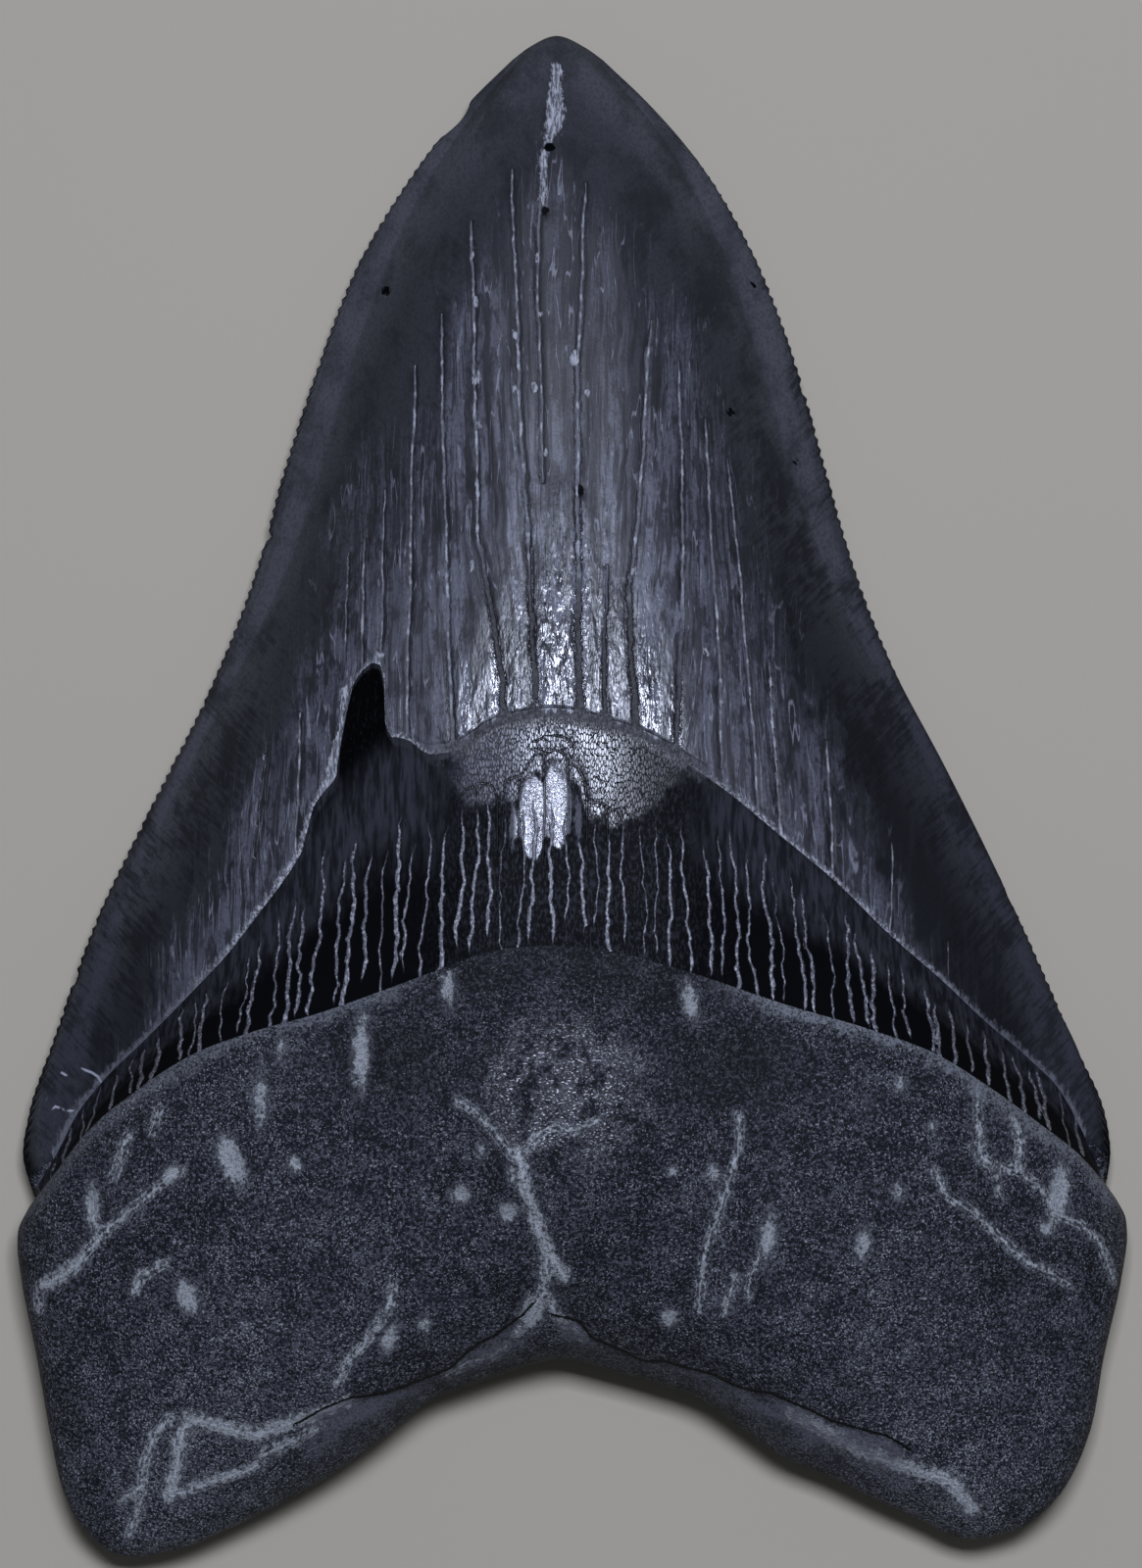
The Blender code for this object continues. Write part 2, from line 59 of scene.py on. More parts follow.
LEFT_NOTCH = ((-43.95, -32.4), (-43.6, -32.95), (-44.05, -33.5))
RIGHT_NOTCH = ((43.5, -31.8), (43.55, -32.2), (44.1, -32.8))
LEFT_ROOT_SIDE = (
    (-44.05, -33.5), (-44.9, -35.3), (-44.97, -36.6), (-44.65, -39.1), (-43.4, -45.5),
    (-42.3, -51.9), (-41.2, -56.7), (-40.1, -59.05), (-38.9, -60.4))
RIGHT_ROOT_SIDE = (
    (44.1, -32.8), (44.85, -34.3), (44.97, -35.5), (44.5, -39.1), (43.1, -45.5),
    (41.9, -51.9), (40.6, -55.1), (39.7, -56.6), (38.4, -58.1))
BASE_CURVE = (
    (-38.9, -60.4), (-37.4, -61.5), (-35.4, -61.85), (-33.4, -61.6), (-31.4, -61.1),
    (-27.4, -59.4), (-23.4, -57.4), (-19.4, -55.1), (-15.4, -52.3), (-11.5, -49.2),
    (-7.5, -47.6), (-3.5, -46.3), (-1.0, -45.75), (2.5, -46.5), (6.5, -47.65),
    (10.5, -49.1), (13.6, -51.3), (16.5, -53.4), (20.5, -55.15), (24.5, -57.15),
    (28.5, -59.0), (30.7, -60.1), (32.6, -60.45), (34.6, -60.1), (36.6, -59.4), (38.4, -58.1))

# Lines across the lingual face, and the two across the labial face.
ENAMEL_LINE = (
    (-43.95, -32.4), (-42.2, -29.7), (-40.2, -25.9), (-38.3, -23.5), (-34.6, -19.9),
    (-30.6, -15.9), (-27.4, -12.5), (-25.0, -9.4), (-22.6, -6.2), (-20.4, -2.6), (-17.5, 0.6),
    (-13.8, 3.3), (-11.0, 3.2), (-8.6, 3.7), (-6.0, 5.3), (-3.5, 6.0), (-0.3, 6.1), (2.9, 5.3),
    (6.0, 4.2), (9.3, 2.3), (11.7, 0.7), (16.5, -3.2), (21.3, -7.2), (25.3, -11.1),
    (30.0, -15.2), (33.2, -18.2), (37.2, -21.6), (39.8, -24.3), (41.6, -27.6), (43.5, -31.8))
ROOT_LINE = (
    (-44.05, -33.5), (-41.8, -30.7), (-39.4, -27.6), (-34.6, -23.5), (-30.6, -20.9),
    (-25.8, -19.0), (-20.2, -17.4), (-14.6, -15.4), (-10.6, -13.9), (-6.7, -12.5),
    (-1.9, -12.0), (2.9, -12.4), (9.3, -14.1), (17.3, -16.8), (23.7, -18.7), (29.2, -20.8),
    (33.2, -23.3), (37.2, -26.2), (41.2, -29.4), (44.1, -32.8))
LABIAL_ENAMEL_LINE = (
    (-43.95, -32.4), (-36.0, -25.2), (-24.0, -18.6), (-12.0, -15.0), (0.0, -14.0),
    (12.0, -15.2), (24.0, -18.4), (36.0, -24.6), (43.5, -31.8))
LABIAL_ROOT_LINE = (
    (-44.05, -33.5), (-36.0, -26.6), (-24.0, -20.2), (-12.0, -16.7), (0.0, -15.8),
    (12.0, -16.8), (24.0, -19.9), (36.0, -26.0), (44.1, -32.8))

# Heights above the surface that the tooth rests on.
EDGE_HEIGHT = ((0.0, 3.6), (0.1, 3.7), (1.0, 4.6), (1.5, 5.6), (2.25, 7.8), (3.0, 7.0))   # (v, z)
LINGUAL_MIDLINE = (
    (-62.0, 15.8), (-52.0, 17.2), (-42.0, 19.0), (-30.0, 19.8), (-20.0, 19.4), (-12.0, 18.6),
    (-3.0, 18.0), (6.0, 17.4), (12.0, 16.6), (25.0, 14.3), (40.0, 11.2), (52.0, 8.0),
    (59.0, 5.6), (62.0, 4.4))                                                             # (y, z)
LABIAL_MIDLINE = (
    (-62.0, 0.9), (-40.0, 0.9), (-25.0, 1.2), (-15.0, 0.9), (-9.0, 0.2), (-2.0, -0.25),
    (12.0, -0.45), (26.0, -0.3), (34.0, 0.1), (46.0, 1.0), (56.0, 2.1), (62.0, 2.9))      # (y, z)
CROWN_HALF_WIDTH = ((-32.0, 43.9), (-20.0, 41.6), (0.0, 33.1), (18.0, 24.5), (43.0, 16.4),
                    (57.0, 6.8), (60.0, 3.7))                                             # (y, x)
MARGIN_WIDTH = 6.5          # flat border of the lingual crown along each cutting edge
MARGIN_EASE = 12.0          # added to the half width, so that the border narrows to the tip
MARGIN_SHARE = 0.42         # how much of the crown's height the border's slope gives
MIDDLE_SPREAD = 2.6         # the crown's middle, (1 - s^2.6)^1.15: flat, then steeper to its sides
MIDDLE_POWER = 1.15
ROOT_SHOULDER = 0.25        # how much the root's round is lowered towards its sides
LABIAL_SPREAD = 2.6         # the labial crown, (1 - s^2.6)^0.8
LABIAL_POWER = 0.8
SIDE_FADE = 6               # a step fades out to the sides as 1 - s^6
TIP_ROUNDING = 0.07         # v over which the tip rises from its edge
ROOT_ONSET = 1.35           # v below the enamel line over which the section becomes the root's
LINGUAL_BASE_ROUNDING = 0.40    # v over which each sheet falls to the root's base
LABIAL_BASE_ROUNDING = 0.26
ENAMEL_STEP = (             # (x, drop) from the enamel to the bourlette
    (-44.0, 0.45), (-20.0, 0.5), (-11.0, 0.1), (-8.0, 0.03), (9.0, 0.03), (20.0, 0.42), (44.0, 0.45))
ROOT_STEP = (               # (x, rise) from the bourlette to the root
    (-44.0, 0.35), (-20.0, 0.3), (-9.0, 0.0), (9.0, 0.0), (20.0, 0.3), (44.0, 0.35))
LABIAL_STEP = 0.35          # drop from the labial enamel to the root
STEP_V = 0.012              # width of each of these steps in v

# Flake missing from the enamel: it bares the bourlette up to the crown. (x, rise)
CHIP_RISE = ((-21.6, 0.0), (-20.9, 0.7), (-20.3, 1.3), (-19.6, 1.4), (-18.7, 1.4), (-18.3, 1.6),
             (-18.0, 4.8), (-17.8, 7.6), (-17.1, 8.0), (-16.2, 7.8), (-15.4, 7.0), (-14.8, 5.2),
             (-14.5, 2.4), (-14.1, 1.2), (-12.7, 0.8), (-11.9, 0.2), (-11.3, 0.0))
CHIP_REACH = 0.5            # v above the enamel line over which the rows give way to the chip
CHIP_DEPTH = 0.35           # drop of the chip's floor under the bourlette's own step
CHIP_EDGE = 0.03            # v over which that floor dips

# Lumps and hollows, (x, y, half width, half length, height), each a smooth round swell.
LINGUAL_SWELLS = (
    (-0.7, -23.5, 11.0, 9.5, 4.4),      # boss in the middle of the root
    (-14.5, -21.0, 6.0, 5.0, -1.1),     # hollows beside it
    (13.5, -21.5, 6.0, 5.0, -1.2),
    (-4.6, -30.5, 3.2, 2.6, 0.7),       # knobs under the boss
    (3.8, -32.0, 3.4, 3.0, 0.8),
    (-28.0, -33.0, 7.0, 8.0, 0.9),      # swell of each lobe
    (28.5, -32.0, 7.0, 8.0, 0.9),
    (-24.0, -48.5, 6.0, 4.0, 0.6),
    (22.0, -45.5, 7.0, 4.0, 0.5),
    (-37.5, -44.0, 3.2, 9.0, -0.7),     # worn flanks
    (38.0, -43.0, 3.0, 8.0, -0.6))
LABIAL_SWELLS = (
    (-22.0, -43.0, 9.0, 8.0, -2.2),     # each lobe's resting pad
    (22.0, -42.0, 9.0, 8.0, -2.2),
    (0.0, -31.0, 5.0, 7.0, 0.9),        # hollow between the lobes
    (-11.0, -24.0, 3.5, 2.5, 0.5),
    (12.0, -25.5, 3.0, 3.0, 0.5))

# Serrations: one every 0.9 mm along each cutting edge of 106 mm.
SERRATIONS = 118
SERRATION_DEPTH = 0.2
SERRATION_WEAR = (0.55, 1.15)   # share of that depth left at each serration, least and most
POINTS_A_SERRATION = 4
WORN_TIP = 0.05             # v over which they fade in below the worn tip
WORN_CORNER = 0.16          # v over which they fade out towards the crown's corner
WEAR_SEED = 7
EDGE_NICKS = (              # (edge, y, half length, depth)
    ("left", 55.0, 1.8, 0.9), ("left", 21.0, 0.9, 0.3), ("right", 33.0, 0.8, 0.25),
    ("right", -8.5, 1.0, 0.3), ("left", -15.0, 0.8, 0.25))
NICK_REACH = 3.0            # how far into the crown a nick draws its surroundings

# Long cracks of the crown, left to right: points (x, y) from the top down, then the half width of
# the crack at its top and at its foot.
CRACKS = (
    (((-25.0, 4.0), (-25.8, -5.0)), 0.05, 0.03),
    (((-22.2, 6.4), (-22.5, -4.4)), 0.08, 0.05),
    (((-18.1, 19.8), (-18.5, 12.8)), 0.05, 0.05),
    (((-16.9, 20.6), (-17.2, 11.6)), 0.08, 0.07),
    (((-15.3, 24.9), (-15.6, 10.4)), 0.05, 0.07),
    (((-12.8, 34.7), (-13.2, 19.9), (-13.5, 4.4)), 0.08, 0.11),
    (((-10.7, 38.9), (-10.3, 19.9), (-9.7, 3.0)), 0.08, 0.14),
    (((-8.2, 46.4), (-7.7, 21.5), (-5.6, 8.8), (-5.5, 4.6)), 0.09, 0.18),
    (((-4.9, 50.6), (-4.3, 32.7), (-2.9, 8.8), (-3.1, 5.0)), 0.09, 0.23),
    (((-2.6, 51.5), (-2.8, 40.7), (-2.4, 26.5)), 0.08, 0.05),
    (((1.1, 49.5), (0.4, 32.7), (0.5, 16.8), (0.6, 5.0)), 0.09, 0.23),
    (((2.9, 18.8), (2.6, 12.8), (2.7, 5.0)), 0.05, 0.15),
    (((6.4, 38.3), (5.3, 21.5), (4.5, 16.8), (5.3, 4.0)), 0.09, 0.22),
    (((8.7, 35.1), (9.1, 19.9), (8.5, 2.6)), 0.08, 0.16),
    (((10.8, 30.3), (12.1, 8.8), (12.2, 3.8)), 0.09, 0.11),
    (((12.7, 27.1), (14.5, 8.8), (15.3, -3.4)), 0.08, 0.09),
    (((15.9, 10.8), (17.0, -3.6)), 0.08, 0.09),
    (((20.7, 4.2), (21.3, -7.4)), 0.07, 0.08),
    (((26.1, -3.8), (25.9, -11.6)), 0.05, 0.06),
    (((30.4, -11.8), (30.5, -15.2)), 0.05, 0.05))
CRACK_FADE = 2.5            # length over which a crack thins out at its ends
CRACK_WANDER = 0.07         # how far a crack strays from its line
CRACK_SEED = 31
CRACK_GROOVE = 0.06         # depth of the groove along a crack
GROOVE_REACH = 0.35         # how far it reaches beside the crack
FULL_CRACK = 0.2            # half width from which a crack has the whole groove
STRAND_WIDTH = 2.2          # width of a strand of the enamel beyond the outermost cracks
GUARD = 60.0                # a line with no width outside the tooth, on each side
LEAST_GAP = 0.35            # cracks, and ridges, never come closer
WANDER_WAVES = ((13.0, 0.8), (5.3, 0.45), (2.3, 0.3), (1.2, 0.2))   # (length, share) of their straying
WANDER_STRETCH = (0.7, 1.4)     # share of that length that a line's own wave has, least and most

# Ridges of the bourlette's comb: where they run, and how each strays.
COMB_ENDS = (-43.0, 43.2)
COMB_RIDGES = 68
COMB_SCATTER = 0.3          # share of the mean spacing by which a ridge is moved
COMB_WANDER = 0.22
COMB_HALF_WIDTH = (0.05, 0.15)
COMB_WIDENING = (0.65, 0.6)     # share of that width at the enamel line, and what the way down adds
COMB_LEAN = 0.2             # how far the outermost ridges lean outwards on their way down
COMB_HEIGHT = 0.06
COMB_REACH = 0.22           # how far a ridge's swell reaches beside it
FULL_RIDGE = 0.12           # half width from which a ridge has its whole height
COMB_SEED = 21
COMB_TOP = (                # (x, v - 1) where the ridges begin
    (-44.0, 0.0), (-34.0, 0.15), (-26.0, 0.26), (-20.0, 0.24), (-14.0, 0.34), (-8.0, 0.34),
    (-5.0, 0.4), (-1.0, 0.5), (2.0, 0.42), (8.0, 0.36), (12.0, 0.28), (20.0, 0.2), (30.0, 0.3),
    (36.0, 0.15), (44.0, -0.1))
COMB_EARLY = 0.05           # v by which they begin above that
COMB_STAGGER = 0.08         # v by which each begins higher or lower than its neighbours
COMB_FOOT = (0.93, 1.12)    # v - 1 where each ends, least and most
COMB_FADE = (0.16, 0.08)    # v over which it fades in, and out

# Seams between the bourlette's plates, each a path of (x, y).
PLATE_SEAMS = (
    ((-3.0, 4.3), (-2.2, 4.7), (-1.2, 4.8), (-0.2, 4.5), (0.1, 3.7)),
    ((-5.3, 1.2), (-4.2, 1.5), (-3.6, 2.4), (-2.9, 3.4), (-1.9, 3.7), (-0.9, 3.5), (-0.2, 2.6),
     (0.5, 2.1), (1.0, 1.2), (1.2, -0.6), (1.2, -4.2)),
    ((-5.5, 1.1), (-5.6, -1.0), (-5.4, -5.0)),
    ((-4.3, 0.9), (-4.4, -1.6), (-4.1, -5.6)),
    ((-2.3, 3.4), (-2.3, 1.4), (-2.2, -0.6), (-2.4, -5.4)),
    ((-0.4, 2.6), (-0.3, 0.4), (-0.4, -4.8)),
    ((-9.4, -0.4), (-8.6, 0.4), (-7.6, 0.9), (-6.6, 0.8), (-6.1, -0.2), (-6.1, -4.6)),
    ((-7.9, 0.6), (-7.8, -4.2)),
    ((1.5, -0.6), (2.4, -0.7), (3.3, -1.3), (4.0, -1.2), (4.1, -4.6)),
    ((2.8, -1.0), (2.9, -4.6)))
# The plates are glossy, and their pale colour is partly a painted highlight.
BRIGHT_PLATES = (           # (x, y, half width, half length)
    (-3.25, -1.8, 1.2, 3.5), (-1.2, -0.8, 1.2, 3.6), (-4.8, -2.4, 0.35, 2.0), (0.5, -2.0, 0.3, 2.2))
CRACKLE_FOOT = (            # lower limit of the crackled part, (x, y)
    (-14.0, 5.0), (-11.5, 2.0), (-8.8, -0.9), (-6.7, -0.4), (-4.3, -0.2), (-3.1, 2.0),
    (-1.9, 2.55), (-0.4, 1.6), (0.5, 0.8), (1.3, -1.8), (4.0, -2.4), (6.0, -1.2), (8.0, 0.6),
    (13.0, 0.8))
PLATE_SEAM_DEPTH = 0.05
SEAM_REACH = 0.22           # how far the dip at a seam reaches beside it
# Middle of the painted highlight on the plates.
PLATES_MIDDLE = -2.4        # x of the two brightest plates' middle
BAND_FADES = (0.08, 0.06)   # v over which the bourlette's relief fades in and out

# Pale mineral on the crown: streaks and crusts along paths of (x, y), then their half width.
CROWN_STREAKS = (
    (((-1.3, 59.2), (-1.4, 57.5), (-1.7, 55.6), (-1.9, 54.0)), 0.55),
    (((-1.2, 57.0), (-0.9, 55.6), (-1.2, 54.0)), 0.45),
    (((-2.0, 54.0), (-2.3, 51.8), (-2.3, 49.6), (-2.4, 48.2)), 0.36),
    (((-15.8, 11.2), (-16.2, 10.8), (-17.0, 9.9), (-18.0, 9.0), (-18.7, 8.0)), 0.4),
    (((-18.7, 8.0), (-18.7, 6.2), (-19.2, 4.2), (-19.6, 2.5), (-20.2, 1.2), (-20.7, -0.4)), 0.3),
    (((-19.1, 3.8), (-19.4, 2.6), (-19.3, 1.2), (-20.1, 0.5)), 0.55))
CROWN_HAIRLINES = (
    ((-43.2, -21.9), (-42.5, -22.1), (-41.7, -22.6), (-41.2, -22.9)),
    ((-39.9, -22.4), (-39.2, -22.6), (-38.6, -23.0), (-38.2, -23.7)),
    ((-43.8, -24.2), (-43.0, -24.7), (-42.4, -25.3), (-41.4, -25.7), (-40.6, -25.8)),
    ((-44.0, -26.1), (-43.4, -26.2)),
    ((26.4, 17.0), (25.8, 16.6), (25.4, 16.7)))
CROWN_BEADS = (             # (x, y, half width, half length)
    (-2.4, 48.5, 0.3, 0.5), (-2.8, 43.7, 0.25, 0.45), (-2.6, 39.1, 0.25, 0.45), (-3.1, 33.1, 0.4, 0.5),
    (-8.1, 44.1, 0.25, 0.45), (-7.9, 40.1, 0.25, 0.45), (-7.8, 33.9, 0.4, 0.7), (-7.6, 30.1, 0.25, 0.5),
    (-4.7, 37.5, 0.25, 0.45), (-4.7, 33.1, 0.25, 0.45), (0.2, 35.5, 0.45, 0.8), (1.2, 32.7, 0.3, 0.4),
    (-2.1, 27.9, 0.25, 0.4), (5.0, 18.2, 0.3, 0.5), (10.9, 11.6, 0.3, 0.5), (-8.2, 18.6, 0.3, 0.5))
CROWN_PITS = (
    (-1.9, 52.7, 0.5, 0.35), (-2.2, 47.5, 0.3, 0.4), (0.7, 24.7, 0.3, 0.55), (-15.2, 41.0, 0.45, 0.45),
    (14.7, 41.5, 0.35, 0.3), (18.2, 27.1, 0.35, 0.3), (12.9, 31.1, 0.4, 0.4))

# Pale mineral on the root: veins along paths of (x, y) with their half width, and patches.
ROOT_VEINS = (
    (((-9.4, -24.9), (-8.0, -25.8), (-6.3, -27.5), (-4.9, -29.5)), 0.22),
    (((2.1, -26.6), (0.2, -27.4), (-1.6, -27.0), (-3.0, -27.9), (-4.0, -29.6)), 0.2),
    (((-4.4, -29.2), (-3.8, -32.2), (-2.75, -35.4), (-2.0, -37.3), (-0.6, -39.3)), 0.55),
    (((-2.0, -37.3), (-2.35, -40.4), (-3.2, -42.4), (-4.5, -43.9)), 0.4),
    (((-2.3, -40.4), (-1.4, -42.4), (0.9, -44.3)), 0.35),
    (((13.6, -26.0), (13.6, -28.7), (12.6, -31.8), (11.7, -34.6), (10.7, -37.7), (10.3, -42.0)), 0.2),
    (((-43.4, -42.0), (-43.5, -40.1), (-42.3, -39.4), (-40.7, -38.8), (-39.6, -37.3), (-38.3, -35.9),
      (-36.4, -34.2), (-34.4, -32.6), (-32.8, -31.1), (-31.6, -30.6)), 0.26),
    (((-43.0, -40.0), (-41.6, -39.2), (-40.2, -38.2)), 0.55),
    (((-39.1, -33.4), (-38.9, -34.8), (-38.6, -36.0)), 0.3),
    (((29.5, -30.6), (30.3, -32.5), (32.7, -34.1), (34.6, -35.9), (37.0, -38.1), (39.1, -39.1),
      (40.4, -39.9)), 0.2),
    (((33.0, -21.5), (33.0, -27.4), (33.2, -29.8)), 0.14),
    (((33.1, -26.6), (33.2, -29.6), (34.6, -30.4), (36.2, -30.6), (36.5, -28.5), (35.9, -26.3)), 0.32),
    (((36.2, -30.6), (38.0, -31.9), (39.4, -34.1), (41.2, -34.9), (42.8, -36.2), (44.2, -39.7)), 0.22),
    (((34.3, -30.1), (34.8, -32.7)), 0.18),
    (((17.8, -50.4), (21.0, -52.2), (24.7, -54.0), (27.9, -55.0), (30.7, -55.9), (32.5, -58.2)), 0.7),
    (((-31.2, -50.8), (-29.7, -51.2), (-28.0, -51.7), (-25.8, -52.2), (-23.7, -51.5), (-21.6, -50.8),
      (-19.4, -50.0), (-18.4, -49.6)), 0.6),
    (((-31.3, -51.0), (-32.0, -52.6), (-32.1, -54.3), (-32.5, -55.8), (-32.9, -57.2)), 0.55),
    (((-20.5, -51.4), (-22.3, -52.6), (-24.8, -53.6), (-26.5, -55.1), (-28.7, -55.8), (-30.8, -56.5),
      (-32.8, -57.2)), 0.4),
    (((-32.8, -50.8), (-34.0, -52.2), (-34.8, -54.3), (-35.1, -56.5), (-36.8, -57.5)), 0.3),
    (((-34.9, -57.0), (-36.1, -60.4)), 0.25),
    (((-14.6, -40.1), (-14.8, -41.6), (-15.9, -43.3), (-17.0, -44.8), (-18.4, -46.5), (-19.1, -48.0)), 0.3),
    (((-33.2, -38.2), (-35.1, -39.3), (-35.7, -40.5)), 0.32),
    (((-33.6, -25.5), (-34.3, -27.6)), 0.2),
    (((-36.2, -27.8), (-37.4, -31.4)), 0.3),
    (((-10.2, -47.3), (-8.3, -46.3), (-6.6, -45.9), (-5.3, -44.9)), 0.16),
    (((13.3, -39.1), (12.8, -40.8), (12.4, -42.3)), 0.16),
    (((15.2, -37.6), (14.6, -39.1), (14.3, -40.9)), 0.14))
ROOT_PATCHES = (            # (x, y, half width, half length, lean)
    (-10.1, -15.6, 0.5, 1.5, 0.0), (-17.2, -20.9, 0.65, 2.9, 0.05), (-25.4, -24.9, 0.5, 1.7, 0.0),
    (-23.7, -20.7, 0.25, 0.8, 0.0), (9.6, -16.9, 0.6, 1.5, -0.15), (-27.7, -29.9, 1.0, 1.9, -0.3),
    (-22.6, -30.1, 0.5, 0.6, 0.0), (-32.7, -31.0, 0.7, 0.8, 0.4), (-39.1, -33.5, 0.5, 1.8, 0.0),
    (-9.1, -32.6, 0.75, 0.7, 0.0), (-5.2, -34.0, 0.8, 0.8, 0.0), (8.1, -30.6, 0.4, 0.4, 0.0),
    (11.5, -30.9, 0.5, 0.6, 0.0), (26.6, -23.6, 0.5, 0.55, 0.0), (23.7, -36.5, 0.55, 1.2, 0.15),
    (15.9, -36.1, 0.6, 1.8, 0.15), (-31.4, -40.9, 0.8, 1.3, -0.2), (-35.4, -39.9, 0.4, 0.5, 0.0),
    (39.6, -32.7, 0.85, 2.4, 0.1), (29.3, -27.1, 0.35, 0.35, 0.0), (26.5, -32.4, 0.4, 0.6, 0.0),
    (-14.9, -44.4, 0.6, 1.0, 0.3), (38.6, -35.4, 0.6, 0.5, 0.0), (-7.4, -29.0, 0.4, 0.5, 0.0),
    (-4.9, -31.0, 0.35, 0.6, 0.0), (7.9, -42.6, 0.6, 0.7, 0.0), (-12.0, -43.2, 0.5, 0.5, 0.0),
    (-3.3, -42.2, 1.0, 1.3, 0.2))
ROOT_PITS = (               # deep hollows among those patches
    (-17.2, -20.9, 0.8, 3.0, 0.45), (-25.4, -24.9, 0.7, 2.0, 0.4), (-10.1, -15.6, 0.6, 1.6, 0.35),
    (-27.7, -30.0, 1.1, 2.2, 0.5), (9.6, -17.0, 0.7, 1.6, 0.4), (23.7, -36.6, 0.7, 1.4, 0.4),
    (15.9, -36.0, 0.8, 2.0, 0.4), (-9.0, -32.7, 0.9, 0.9, 0.4), (-5.2, -34.2, 0.9, 0.9, 0.4),
    (-39.1, -33.6, 0.7, 2.0, 0.4), (39.6, -32.8, 1.0, 2.4, 0.4))

# Thin cracks along the root's lower rim; the stone below them stands lower.
LOWER_RIM_CRACKS = (
    ((-22.4, -51.3), (-20.2, -50.0), (-18.2, -49.2), (-15.2, -48.8), (-13.1, -48.0), (-10.0, -46.8),
     (-8.6, -45.5), (-7.7, -44.8), (-6.3, -44.1), (-4.0, -42.4), (-3.2, -41.5)),
    ((-1.6, -42.4), (0.5, -42.9), (1.6, -44.3), (4.0, -45.3), (5.8, -46.2), (7.5, -46.2), (9.6, -46.8),
     (11.4, -47.2), (12.9, -48.0), (14.3, -48.5), (16.2, -48.8), (17.8, -49.5), (19.0, -50.0),
     (21.3, -51.1), (25.7, -52.3), (27.7, -53.5)))
LOWER_RIM_DROP = 0.4
LOWER_RIM_EASE = 0.35       # how far below a crack that drop is reached
LOWER_RIM_END = 1.5         # length over which it fades in from each end of a crack
LOWER_RIM_BASE = 0.12       # v above the base over which the lower stone's own tone fades out
RIM_CRACK_DEPTH = 0.12
RIM_CRACK_REACH = 0.25

# Crusts of mineral stand proud of the stone, and pits lie in it.
CRUST_HEIGHT = 0.08         # on the crown
VEIN_HEIGHT = 0.07          # on the root
CRUST_EASE = 0.3            # width of their slopes
PIT_DEPTH = 0.25
PIT_EASE = 0.2

# Fine relief of the stone, (cell, height, seed), and of the enamel's lip.
ROOT_GRAIN = ((3.4, 0.22, 3), (1.5, 0.1, 4), (0.8, 0.06, 5))
BAND_GRAIN = ((2.4, 0.05, 6),)
CROWN_GRAIN = ((4.5, 0.06, 8),)
LIP_HEIGHT = 0.14
LIP_WIDTH = 0.35
LIP_CALM = 16.0             # the lip is lower nearer to the middle than this
LINE_CALM = 0.6             # distance above the enamel line over which grain and grooves fade in
TIP_CALM = 0.1              # v below the tip over which the grain fades in
ROOT_FADES = (0.03, 0.02, 0.04)     # v below the root line, u from the sides and v above the base
                                    # over which the root's relief fades in
LABIAL_FADES = (0.1, 0.03, 0.05)    # the same for the labial face below its enamel line
GRAIN_CORNER = (-60.0, -80.0)       # corner of the lattices of random heights
GRAIN_EXTENT = 160.0                # their size, which takes in the whole tooth

# How finely each sheet is divided, and lines are measured.
CROWN_ROWS, CROWN_COLUMNS = 150, 230
BAND_ROWS, BAND_COLUMNS = 30, 470
ROOT_ROWS, ROOT_COLUMNS = 100, 215
LABIAL_CROWN_ROWS, LABIAL_ROOT_ROWS, LABIAL_COLUMNS = 90, 40, 90
CHIP_COLUMN = 0.14          # width of a column across the chip
CROWN_SIDE_COLUMN = 0.02    # first column inside the outline, in u
SIDE_COLUMN = 0.004
TURN_REACH = 0.06           # how far round the outline a point may be from its place in the grid
SERRATION_ROOM = 0.7        # share of the first column's width that a serration may take
SIDE_CLEARANCE = 1.5        # even columns stay this many side columns away from the outline
CHIP_CLEARANCE = 0.002      # and this far in u from the chip's narrow ones
NOTCH_MIDDLE = 1.5          # v of the one outline point inside a notch
ROOT_SIDE_STEPS = 80
TIP_STEPS = 40
LENGTH_SAMPLES = 1200       # points at which a line's length is measured
NUDGE = 1e-4                # step in v that gives an outline's direction

CROWN, BAND, ROOT = range(3)        # which finish a face takes

# Each mark's value where a sheet doesn't have it, as if far from what it marks.
FAR_OUTSIDE = -5.0          # for depths inside a path or an oval
FAR_AWAY = 10.0             # for distances from a line
UNMARKED = {
    "strand": 0.0, "above line": 30.0, "below line": FAR_AWAY, "down band": 1.0,
    "crack phase": 0.5, "crack gap": 40.0, "crack width": 0.0,
    "comb phase": 0.5, "comb gap": 40.0, "comb width": 0.0,
    "crackle line": FAR_OUTSIDE, "chip": FAR_OUTSIDE, "plate": FAR_OUTSIDE, "crust": FAR_OUTSIDE,
    "bead": FAR_OUTSIDE, "pit": FAR_OUTSIDE, "vein": FAR_OUTSIDE, "patch": FAR_OUTSIDE,
    "hair near": FAR_AWAY, "hairline": FAR_AWAY, "core near": FAR_AWAY, "core": FAR_AWAY,
    "below rim": 0.0, "boss": 0.0, "hollow": 0.0}
CRACKLE_AT_LINE = 3.0       # "crackle line" on the crown, so that the crackle runs up to the enamel


def curve_through(knots, values, at):
    """Cubic Hermite curve through values at knots, its slope at a knot averaged from both sides."""
    knots = np.asarray(knots, float)
    values = np.asarray(values, float)
    slopes = np.gradient(values, knots, axis=0)
    cell = np.clip(np.searchsorted(knots, at, side="right") - 1, 0, len(knots) - 2)
    width = knots[cell + 1] - knots[cell]
    t = (np.asarray(at, float) - knots[cell]) / width
    if values.ndim > 1:
        width, t = width[..., None], t[..., None]
    start = (1 + 2 * t) * (1 - t) ** 2 * values[cell] + t * (1 - t) ** 2 * width * slopes[cell]
    end = t * t * (3 - 2 * t) * values[cell + 1] + t * t * (t - 1) * width * slopes[cell + 1]
    return start + end


